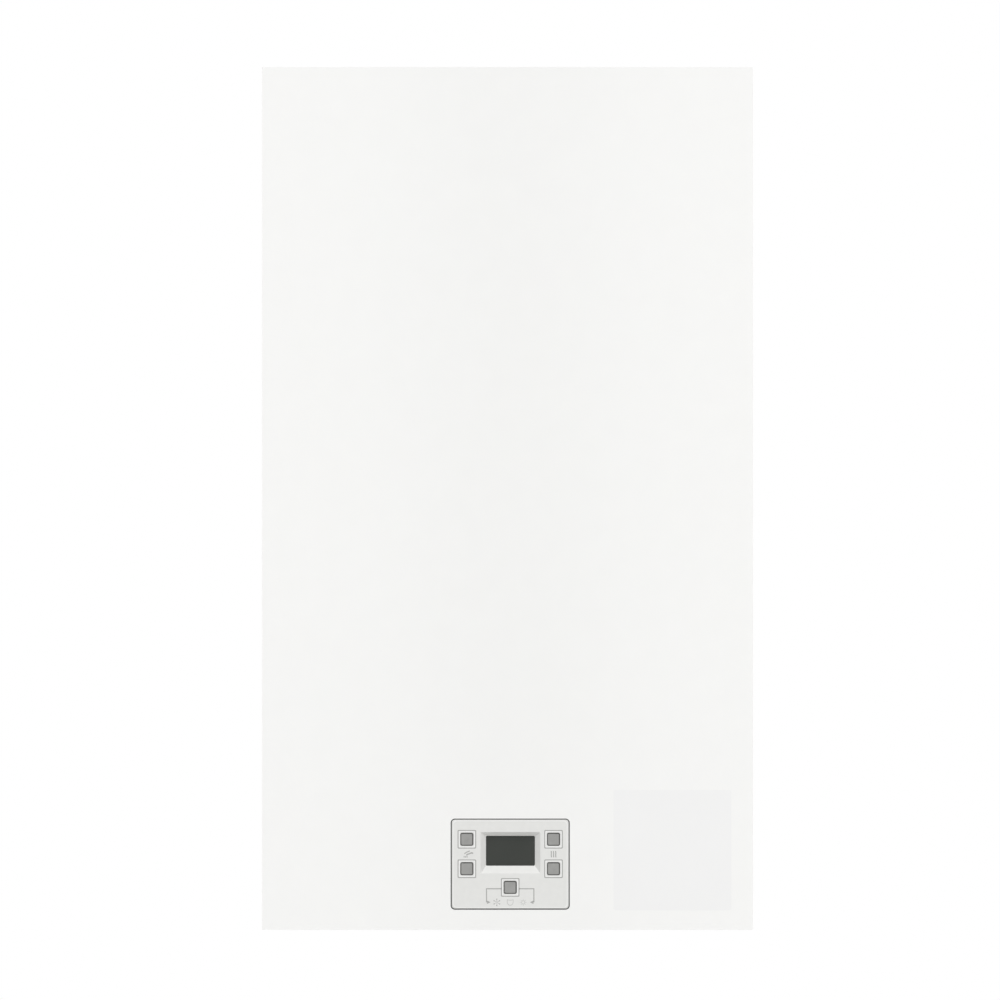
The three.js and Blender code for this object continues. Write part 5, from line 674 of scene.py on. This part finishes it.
# ----------------------------------------------------------
# Pipe threads: cut on the five brass and steel tails under the boiler, a helix of G 3/4 or G 1/2
# pitch that stands 0.5 mm off the core and runs out before the hexagon.
HOOK_HEIGHT_MM = 655.0
TAIL_Y_MM = -112.0
TAIL_FOOT_MM = 2.2
THREAD_TOP_MM = 6.6
THREAD_MARGIN_MM = 0.6
THREAD_PITCH_MM = 1.81
THREAD_STEPS = 48
THREAD_RISE_MM = 0.5
THREAD_ROOT_MM = -0.2
THREAD_PROFILE_MM = ((THREAD_ROOT_MM, -0.55), (THREAD_RISE_MM, -0.08), (THREAD_RISE_MM, 0.08),
                     (THREAD_ROOT_MM, 0.55))
RUNOUT_ANGLE = 1.5
RUNOUT_LEAST = 0.02
TAILS_MM = {
    "heating_flow": (-130.0, 13.2, cast_brass),
    "hot_water": (-65.0, 10.5, cast_brass),
    "gas": (0.0, 13.2, zinc_plate),
    "cold_water": (65.0, 10.5, cast_brass),
    "heating_return": (130.0, 13.2, cast_brass),
}


def from_hook(points_mm):
    """Points in mm over the boiler's lower edge, given in metres from the middle of the hooks that
    the boiler hangs on: z has the hooks' height taken off."""
    return (np.asarray(points_mm, float) - (0, 0, HOOK_HEIGHT_MM)) / 1000


def grid_mesh(name, points_mm, closed_u, closed_v, smooth=False):
    """A mesh from an array of points (rows u, columns v). Neighbouring rows and columns are joined
    by four-sided faces, and round the back too where closed_u or closed_v says so; open ends get
    caps."""
    rows, columns = points_mm.shape[:2]
    number = np.arange(rows * columns).reshape(rows, columns)
    u = np.arange(rows if closed_u else rows - 1)
    v = np.arange(columns if closed_v else columns - 1)
    a, b = np.meshgrid(u, v, indexing="ij")
    a2, b2 = (a + 1) % rows, (b + 1) % columns
    faces = np.stack([number[a, b], number[a2, b], number[a2, b2], number[a, b2]], -1)
    faces = faces.reshape(-1, 4).tolist()
    if closed_v and not closed_u:
        faces += [number[0].tolist(), number[-1][::-1].tolist()]
    made = mesh_object(name, from_hook(points_mm), faces, smooth)
    outward(made)
    return made


profile_reach, profile_rise = np.array(THREAD_PROFILE_MM).T
for tail, (x, radius, metal) in TAILS_MM.items():
    turns = (THREAD_TOP_MM - TAIL_FOOT_MM) / THREAD_PITCH_MM
    turn = np.linspace(0, 2 * np.pi * turns, int(THREAD_STEPS * turns))[:, None]
    runout = np.clip(np.minimum(turn, turn[-1] - turn) / RUNOUT_ANGLE, RUNOUT_LEAST, 1)
    reach = radius + np.where(profile_reach > 0, profile_reach * runout, profile_reach)
    climb = THREAD_TOP_MM - TAIL_FOOT_MM - 2 * THREAD_MARGIN_MM
    rise = TAIL_FOOT_MM + THREAD_MARGIN_MM + turn / turn[-1] * climb + profile_rise
    helix = np.stack([x + reach * np.cos(turn), TAIL_Y_MM + reach * np.sin(turn), rise], -1)
    thread = grid_mesh("thread_" + tail, helix, False, True)
    thread.data.materials.append(metal)
    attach(thread, "frame")


# ----------------------------------------------------------
# Pressure gauge: a white enamelled dial printed with plain strokes for 0 to 4 bar, a green span for
# the working pressure, and a clear polystyrene lens in the bezel. It is read from below.
GAUGE_MM = (-98.0, -205.0)
DIAL_Z_MM = 6.3
DIAL_R_MM = 17.2
DIAL_THICK_MM = 0.2
DIAL_INK_MM = 0.05
SWEEP_START = math.radians(225)
SWEEP = math.radians(270)
SCALE_STEPS = 16
STEPS_A_BAR = 4
STROKE_END_MM = 2.0
LONG_STROKE_MM = (5.2, 0.45)
SHORT_STROKE_MM = (3.6, 0.22)
SPAN_SHARES = (0.25, 0.5)
SPAN_MM = (1.7, 0.6)
SPAN_POINTS = 24
LENS_Z_MM = 2.0
LENS_FLAT_R_MM = 15.0
LENS_THICK_MM = 0.8
POLYSTYRENE_IOR = 1.59
TURNED_CORNERS = 48


def turned(name, radius, height, centre, axis, smooth=False):
    """Rings of points round an axis through the centre, joined to a closed solid. Each row of
    radius is one ring, with a value for each point, and height has one value for each ring."""
    turn = 2 * np.pi * np.arange(radius.shape[1]) / radius.shape[1]
    across, up = radius * np.cos(turn), radius * np.sin(turn)
    along = np.broadcast_to(np.reshape(height, (-1, 1)), across.shape)
    order = {"y": (up, along, across), "z": (across, up, along)}[axis]
    return grid_mesh(name, np.stack(order, -1) + centre, False, True, smooth)


def lathe_mesh(name, profile, centre, axis, count, smooth=False):
    """A turned solid: each (radius, height) pair of the profile is swept round the axis through the
    centre. Pairs at radius 0 are drawn in to 0.01 mm, so that the ends close as small flats."""
    radius, height = np.array(profile, float).T
    rings = np.tile(np.maximum(radius, 0.01)[:, None], (1, count))
    return turned(name, rings, height, centre, axis, smooth)


def together(name, parts):
    """Joins mesh objects of one material each into one, and keeps each one's material."""
    points, faces, smooth, looks, used, start = [], [], [], [], [], 0
    for part in parts:
        mesh = part.data
        place = np.empty(3 * len(mesh.vertices), np.float32)
        corner = np.empty(len(mesh.loops), np.int32)
        sides = np.empty(len(mesh.polygons), np.int32)
        soft = np.empty(len(mesh.polygons), bool)
        mesh.vertices.foreach_get("co", place)
        mesh.loops.foreach_get("vertex_index", corner)
        mesh.polygons.foreach_get("loop_total", sides)
        mesh.polygons.foreach_get("use_smooth", soft)
        points += place.reshape(-1, 3).tolist()
        faces += [face.tolist() for face in np.split(corner + start, np.cumsum(sides)[:-1])]
        smooth += soft.tolist()
        looks += [look for look in mesh.materials if look not in looks]
        used += [looks.index(mesh.materials[0]) if mesh.materials else 0] * len(sides)
        start = len(points)
        bpy.data.objects.remove(part)
    made = mesh_object(name, points, faces)
    for look in looks:
        made.data.materials.append(look)
    made.data.polygons.foreach_set("use_smooth", smooth)
    made.data.polygons.foreach_set("material_index", used)
    return made


def gauge_stroke(turn, length, width):
    """One stroke of the scale: a flat bar of ink under the dial that points at its middle."""
    along = np.array([math.cos(turn), math.sin(turn)])
    side = np.array([-along[1], along[0]]) * width / 2
    inner, outer = along * (DIAL_R_MM - length), along * (DIAL_R_MM - STROKE_END_MM)
    corners = np.array([inner - side, inner + side, outer + side, outer - side]) + GAUGE_MM
    levels = [np.insert(corners, 2, z, axis=1) for z in (DIAL_Z_MM, DIAL_Z_MM - DIAL_INK_MM)]
    return grid_mesh("mark", np.stack(levels), False, True)


dial = lathe_mesh("gauge_dial", [
    (0, DIAL_Z_MM), (DIAL_R_MM, DIAL_Z_MM), (DIAL_R_MM, DIAL_Z_MM + DIAL_THICK_MM),
    (0, DIAL_Z_MM + DIAL_THICK_MM)], (*GAUGE_MM, 0), "z", TURNED_CORNERS)
dial.data.materials.append(
    finish("white_enamelled_dial", 0xF4F3EF, 0xEEEDE8, 2.0, 0.002, 0.35, 0.03))

scale = together("gauge_scale", [
    gauge_stroke(SWEEP_START - SWEEP * step / SCALE_STEPS,
                 *(SHORT_STROKE_MM if step % STEPS_A_BAR else LONG_STROKE_MM))
    for step in range(SCALE_STEPS + 1)])
scale.data.materials.append(
    finish("black_dial_printing_ink", 0x202122, 0x1B1C1D, 0.5, 0.001, 0.5, 0.02))

turn = SWEEP_START - SWEEP * np.linspace(*SPAN_SHARES, SPAN_POINTS)
span_inner, span_outer = (DIAL_R_MM - inset for inset in SPAN_MM)
span_ink_z = DIAL_Z_MM - DIAL_INK_MM
span = np.stack([
    np.stack([GAUGE_MM[0] + r * np.cos(turn), GAUGE_MM[1] + r * np.sin(turn),
              np.full(SPAN_POINTS, z)], 1)
    for r, z in ((span_inner, DIAL_Z_MM), (span_outer, DIAL_Z_MM), (span_outer, span_ink_z),
                 (span_inner, span_ink_z))], 1)
working_span = grid_mesh("gauge_working_span", span, False, True)
working_span.data.materials.append(
    finish("green_dial_printing_ink", 0x3F9A55, 0x38904D, 0.5, 0.001, 0.5, 0.02))

gauge_lens = lathe_mesh("gauge_lens", [
    (0, LENS_Z_MM), (LENS_FLAT_R_MM, LENS_Z_MM), (DIAL_R_MM, LENS_Z_MM + 0.5),
    (DIAL_R_MM, LENS_Z_MM + 1.2), (LENS_FLAT_R_MM, LENS_Z_MM + LENS_THICK_MM),
    (0, LENS_Z_MM + LENS_THICK_MM)], (*GAUGE_MM, 0), "z", TURNED_CORNERS, True)
gauge_lens.data.materials.append(
    finish("clear_polystyrene_lens", 0xF6F8F8, 0xF2F5F5, 6.0, 0.0005, 0.05, 0.01,
           Transmission_Weight=0.95, IOR=POLYSTYRENE_IOR))
for piece, used in ((dial, "white_ceramic"), (scale, "dark_plastic"),
                    (working_span, "dark_plastic"), (gauge_lens, "clear_glass")):
    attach(piece, "frame")


# ----------------------------------------------------------
# Flange screws: zinc-plated self-tappers with a hexagon on a round flange. Twenty go round the edge
# of the sealed chamber's cover, and four hold the flue socket's flange on top of the chamber.
COVER_SCREW_MM = 7.0
COVER_FACE_Y = -288.8
COVER_SCREW_HALF_X = 189.0
COVER_ROW_Z = (256.5, 684.5)
COVER_SIDE_Z = (342, 599)
COVER_ROW_SCREWS = 6
COVER_SIDE_SCREWS = 4
SOCKET_SCREW_MM = 6.0
SOCKET_FLANGE_TOP = 695.1
SOCKET_SCREW_R_MM = 58.5
FLUE_MM = (-10.5, -146.8)
FLANGE_RINGS = ((0.62, 0.0, 0), (0.62, 0.12, 0), (0.44, 0.16, 1), (0.44, 0.44, 1),
                (0.38, 0.5, 0), (0.24, 0.5, 0), (0.2, 0.42, 0), (0.01, 0.42, 0))
HEXAGON_PULL = np.tile([1.0, math.cos(math.pi / 6)], 6)


def screw_head(place, axis, out, size, rings, pull):
    """One zinc-plated head. Each ring is (radius, height, pulled) in shares of the screw's size,
    with a point for each value of pull, and a pulled ring's radius is multiplied by those values.
    out is 1 or -1, the way along the axis that the head looks."""
    radius, height, pulled = np.array(rings, float).T
    reach = (radius * size)[:, None] * np.where(pulled[:, None], pull, 1.0)
    made = turned("screw", reach, height * size * out, place, axis)
    made.data.materials.append(zinc_plate)
    return made


row_x = np.linspace(-COVER_SCREW_HALF_X, COVER_SCREW_HALF_X, COVER_ROW_SCREWS)
side_z = np.linspace(*COVER_SIDE_Z, COVER_SIDE_SCREWS)
around = [(x, z) for z in COVER_ROW_Z for x in row_x]
around += [(x, z) for x in (-COVER_SCREW_HALF_X, COVER_SCREW_HALF_X) for z in side_z]
cover_screws = together("cover_screws", [
    screw_head((x, COVER_FACE_Y, z), "y", -1, COVER_SCREW_MM, FLANGE_RINGS, HEXAGON_PULL)
    for x, z in around])
socket_places = circle(*FLUE_MM, SOCKET_SCREW_R_MM, 4, math.pi / 4)
socket_screws = together("flue_socket_screws", [
    screw_head((x, y, SOCKET_FLANGE_TOP), "z", 1, SOCKET_SCREW_MM, FLANGE_RINGS, HEXAGON_PULL)
    for x, y in socket_places])
for piece in (cover_screws, socket_screws):
    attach(piece, "frame")


# ----------------------------------------------------------
# Pump head: a chrome-plated bleed screw with a slot in the middle of the motor's end, four pan-head
# screws round the terminal box's lid, and a blank name plate of brushed aluminium foil. The slot is
# a thin dark sheet on the screw's face: painted shadow.
PUMP_MM = (95.0, 170.0)
BLEED_FACE_Y = -211.3
BLEED_PROFILE_MM = ((0, -1.6), (4.6, -1.6), (6.2, -1.2), (7.0, -0.4), (7.0, 0.2), (0, 0.2))
SLOT_HALF_MM = (4.6, 0.6)
SLOT_DEPTHS_MM = (1.65, 1.55)
LID_SCREW_Y = -207.1
LID_SCREW_MM = 6.0
LID_SCREW_X = (40.5, 70.5)
LID_SCREW_Z = (-24.0, 16.0)
LID_FOIL_LOW_MM = (45, -207.45, -14)
LID_FOIL_HIGH_MM = (66, -207.2, 8)
BRUSHED_ALONG_X = (0.05, 1, 1)
PAN_RINGS = ((0.5, 0.0, 0), (0.5, 0.16, 0), (0.44, 0.28, 0), (0.3, 0.36, 0), (0.26, 0.37, 1),
             (0.2, 0.12, 1), (0.01, 0.1, 0))
CROSS_PULL = np.tile([1.0, 0.42, 0.42, 0.42], 4)

chrome = finish("chrome_plated_brass", 0xD8DADC, 0xCFD1D4, 1.0, 0.002, 0.12, 0.04, 1.0)
foil = finish("brushed_aluminium_foil", 0xC9CBCC, 0xBFC2C4, 0.4, 0.01, 0.32, 0.06, 1.0,
              BRUSHED_ALONG_X)
# Painted shadow: a near-black for the bleed screw's slot and the casing screws' recesses, where
# only shade would show.
painted_slot_shadow = finish("painted_shadow_in_screw_recesses", 0x2B2B2C, 0x262627, 0.5, 0.001, 0.8, 0.05)


def plate(name, low, high, round_mm, metal):
    """A thin sheet between two corners in mm: a rounded rectangle across its two long sides,
    carried through its thinnest side."""
    low, high = np.asarray(low, float), np.asarray(high, float)
    thin = int(np.argmin(high - low))
    a, b = [i for i in range(3) if i != thin]
    middle, size = (low + high) / 2, high - low
    outline = rounded_rectangle(middle[a], middle[b], size[a], size[b], round_mm, 6)
    rings = np.stack([np.insert(outline, thin, level, axis=1) for level in (low[thin], high[thin])])
    made = grid_mesh(name, rings, False, True)
    made.data.materials.append(metal)
    return made


bleed_place = np.array([PUMP_MM[0], BLEED_FACE_Y, PUMP_MM[1]])
bleed = lathe_mesh("pump_bleed_screw", BLEED_PROFILE_MM, bleed_place, "y", 32, True)
bleed.data.materials.append(chrome)
slot_x, slot_z = SLOT_HALF_MM
slot_front, slot_back = SLOT_DEPTHS_MM
bleed_slot = plate("bleed_slot", bleed_place - (slot_x, slot_front, slot_z),
                   bleed_place + (slot_x, -slot_back, slot_z), 0.2, painted_slot_shadow)
bleed_screw = together("pump_bleed_screw_slotted", [bleed, bleed_slot])
lid_screws = together("pump_lid_screws", [
    screw_head((PUMP_MM[0] + x, LID_SCREW_Y, PUMP_MM[1] + z), "y", -1, LID_SCREW_MM, PAN_RINGS,
               CROSS_PULL)
    for x in LID_SCREW_X for z in LID_SCREW_Z])
pump_middle = (PUMP_MM[0], 0, PUMP_MM[1])
pump_plate = plate("pump_blank_foil_plate", np.add(pump_middle, LID_FOIL_LOW_MM),
                   np.add(pump_middle, LID_FOIL_HIGH_MM), 1.5, foil)
for piece in (bleed_screw, lid_screws, pump_plate):
    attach(piece, "frame")


# ----------------------------------------------------------
# Gas valve: a zinc-plated hexagon nut and a strip of blank foil on each of its two coils, and below
# them two pressure test nipples turned from brass, one before the valve and one after it.
VALVE_X = -8.0
COIL_FACE_Y = -236.0
COIL_Z = 178.0
COIL_OUT_MM = 16
COIL_NUT_PROFILE_MM = ((0, -3.4), (3.0, -3.4), (3.0, -2.4), (5.6, -2.2), (6.3, -1.8), (6.3, 0.2),
                       (0, 0.2))
COIL_FOIL_LOW_MM = (-9.5, -0.25, 6.6)
COIL_FOIL_HIGH_MM = (5.5, -0.05, 8.9)
VALVE_FACE_Y = -210.0
NIPPLE_X = (-32.0, 16.0)
NIPPLE_Z = 153.0
NIPPLE_PROFILE_MM = ((0, -11), (2.2, -11), (2.6, -10.2), (3.4, -6), (4.2, -5.6), (4.2, -1.2),
                     (5.4, -1.0), (5.4, 0.2), (0, 0.2))
TURNED_LINES = (1, 1, 8)

turned_brass = finish("turned_brass", 0xC8A24E, 0xB8913F, 0.5, 0.004, 0.22, 0.05, 1.0,
                      TURNED_LINES)
coil_parts = []
for side in (-1, 1):
    coil = np.array([VALVE_X + side * COIL_OUT_MM, COIL_FACE_Y, COIL_Z])
    coil_nut = lathe_mesh("coil_nut", COIL_NUT_PROFILE_MM, coil, "y", 6)
    coil_nut.data.materials.append(zinc_plate)
    coil_foil = plate("coil_foil", coil + COIL_FOIL_LOW_MM, coil + COIL_FOIL_HIGH_MM, 0.8, foil)
    coil_parts += [coil_nut, coil_foil]
coil_nuts = together("gas_valve_coil_nuts", coil_parts)
nipples = [lathe_mesh("nipple", NIPPLE_PROFILE_MM, (x, VALVE_FACE_Y, NIPPLE_Z), "y", 24, True)
           for x in NIPPLE_X]
for nipple in nipples:
    nipple.data.materials.append(turned_brass)
test_nipples = together("gas_pressure_test_nipples", nipples)
for piece, used in ((coil_nuts, "zinc_steel"), (test_nipples, "cast_brass")):
    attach(piece, "frame")


# ----------------------------------------------------------
# Control box: four zinc-plated pan-head screws at the corners of its cover, and a blank rating
# plate of foil stuck on it. The cover is the box's back, which shows when the box is tipped down.
COVER_BACK_Y = -244.0
COVER_HALF_X = 156.0
CORNER_SCREW_MM = 7.0
CORNER_SCREW_Z = (18.5, 118.5)
RATING_X = (60, 128)
RATING_Z = (30, 66)
RATING_THICK_MM = 0.15
RATING_CORNER_MM = 3.0

back_screws = together("control_cover_screws", [
    screw_head((x, COVER_BACK_Y, z), "y", 1, CORNER_SCREW_MM, PAN_RINGS, CROSS_PULL)
    for x in (-COVER_HALF_X, COVER_HALF_X) for z in CORNER_SCREW_Z])
rating = plate("blank_rating_foil", (RATING_X[0], COVER_BACK_Y, RATING_Z[0]),
               (RATING_X[1], COVER_BACK_Y + RATING_THICK_MM, RATING_Z[1]), RATING_CORNER_MM, foil)
for piece in (back_screws, rating):
    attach(piece, "control")


# ----------------------------------------------------------
# Casing screws: the recess in each screw's head under the casing, made as two dark bars that cross,
# because a driver's recess shows mainly as its own shadow.
CASING_SCREW_X = {"left": -180.0, "right": 180.0}
CASING_SCREW_Y = -276.0
RECESS_BAR_MM = (2.6, 0.55)
RECESS_Z_MM = (1.12, 1.3)

for side, x in CASING_SCREW_X.items():
    bars = [plate("cross", (x - a, CASING_SCREW_Y - b, RECESS_Z_MM[0]),
                  (x + a, CASING_SCREW_Y + b, RECESS_Z_MM[1]), 0.1, painted_slot_shadow)
            for a, b in (RECESS_BAR_MM, RECESS_BAR_MM[::-1])]
    cross = together("casing_screw_recess_" + side, bars)
    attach(cross, "frame")


# ----------------------------------------------------------
# Flue collar's seal: a bead of grey heatproof silicone, run by hand round the flue socket where it
# meets its flange, so its height wavers a little on the way round.
BEAD_R_MM = 53.2
BEAD_MM = 1.1
BEAD_OVER_FLANGE_MM = 0.5
BEAD_WAVER_MM = 0.15
BEAD_WAVES = 9
BEAD_STEPS = 72
BEAD_CORNERS = 8

turn = np.linspace(0, 2 * np.pi, BEAD_STEPS + 1)[:-1, None]
bead_turn = np.linspace(0, 2 * np.pi, BEAD_CORNERS + 1)[:-1]
reach = BEAD_R_MM + BEAD_MM * np.cos(bead_turn)
level = (SOCKET_FLANGE_TOP + BEAD_OVER_FLANGE_MM + BEAD_MM * np.sin(bead_turn)
         + BEAD_WAVER_MM * np.sin(BEAD_WAVES * turn))
bead = np.stack([FLUE_MM[0] + reach * np.cos(turn), FLUE_MM[1] + reach * np.sin(turn), level], -1)
sealant = grid_mesh("flue_collar_sealant", bead, True, True, True)
sealant.data.materials.append(
    finish("grey_heatproof_silicone_sealant", 0x8C8E8F, 0x828485, 1.2, 0.05, 0.45, 0.08))
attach(sealant, "frame")


# ----------------------------------------------------------
# Pipe nuts: the flow, return and gas pipes are each held by a chamfered hexagon nut, of brass on
# the copper pipes and of zinc-plated steel on the gas pipe, drawn down over the pipe's end.
PIPE_NUTS_MM = {
    "flow": ((-130.0, -112.0, 118.4), 9.15, 15.5, 12.0, cast_brass, "cast_brass"),
    "return": ((130.0, -108.0, 212.4), 9.15, 15.5, 12.0, cast_brass, "cast_brass"),
    "gas_outlet": ((-8.0, -180.0, 208.4), 8.15, 14.0, 10.0, zinc_plate, "zinc_steel"),
}
NUT_CORNERS = 48
NUT_CHAMFER = 0.9
NUT_LEVELS = (0, 0, 0.09, 0.85, 1.0, 1.0, 0.95)
MOUTH_CHAMFER_MM = 0.6


def hexagon_nut(name, place, inner, corner, height):
    """A nut round an upright pipe. The outer radius follows a hexagon, its corner times cos 30 over
    the cosine of the angle from the nearest flat's middle, but never past the round of the
    chamfer in the rings at the top and foot."""
    turn = 2 * np.pi * np.arange(NUT_CORNERS) / NUT_CORNERS
    from_flat = np.mod(turn, math.pi / 3) - math.pi / 6
    hexagon = corner * math.cos(math.pi / 6) / np.cos(from_flat)
    rounded = np.minimum(hexagon, corner * NUT_CHAMFER)
    bore = np.full(NUT_CORNERS, inner)
    radius = np.stack([bore, rounded, hexagon, hexagon, rounded, bore + MOUTH_CHAMFER_MM, bore])
    level = np.array(NUT_LEVELS)[:, None] * height + np.zeros(NUT_CORNERS)
    points = np.stack([radius * np.cos(turn), radius * np.sin(turn), level], -1) + place
    return grid_mesh(name, points, True, True)


for joint, (place, inner, corner, height, metal, used) in PIPE_NUTS_MM.items():
    nut = hexagon_nut("pipe_nut_" + joint, place, inner, corner, height)
    nut.data.materials.append(metal)
    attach(nut, "frame")
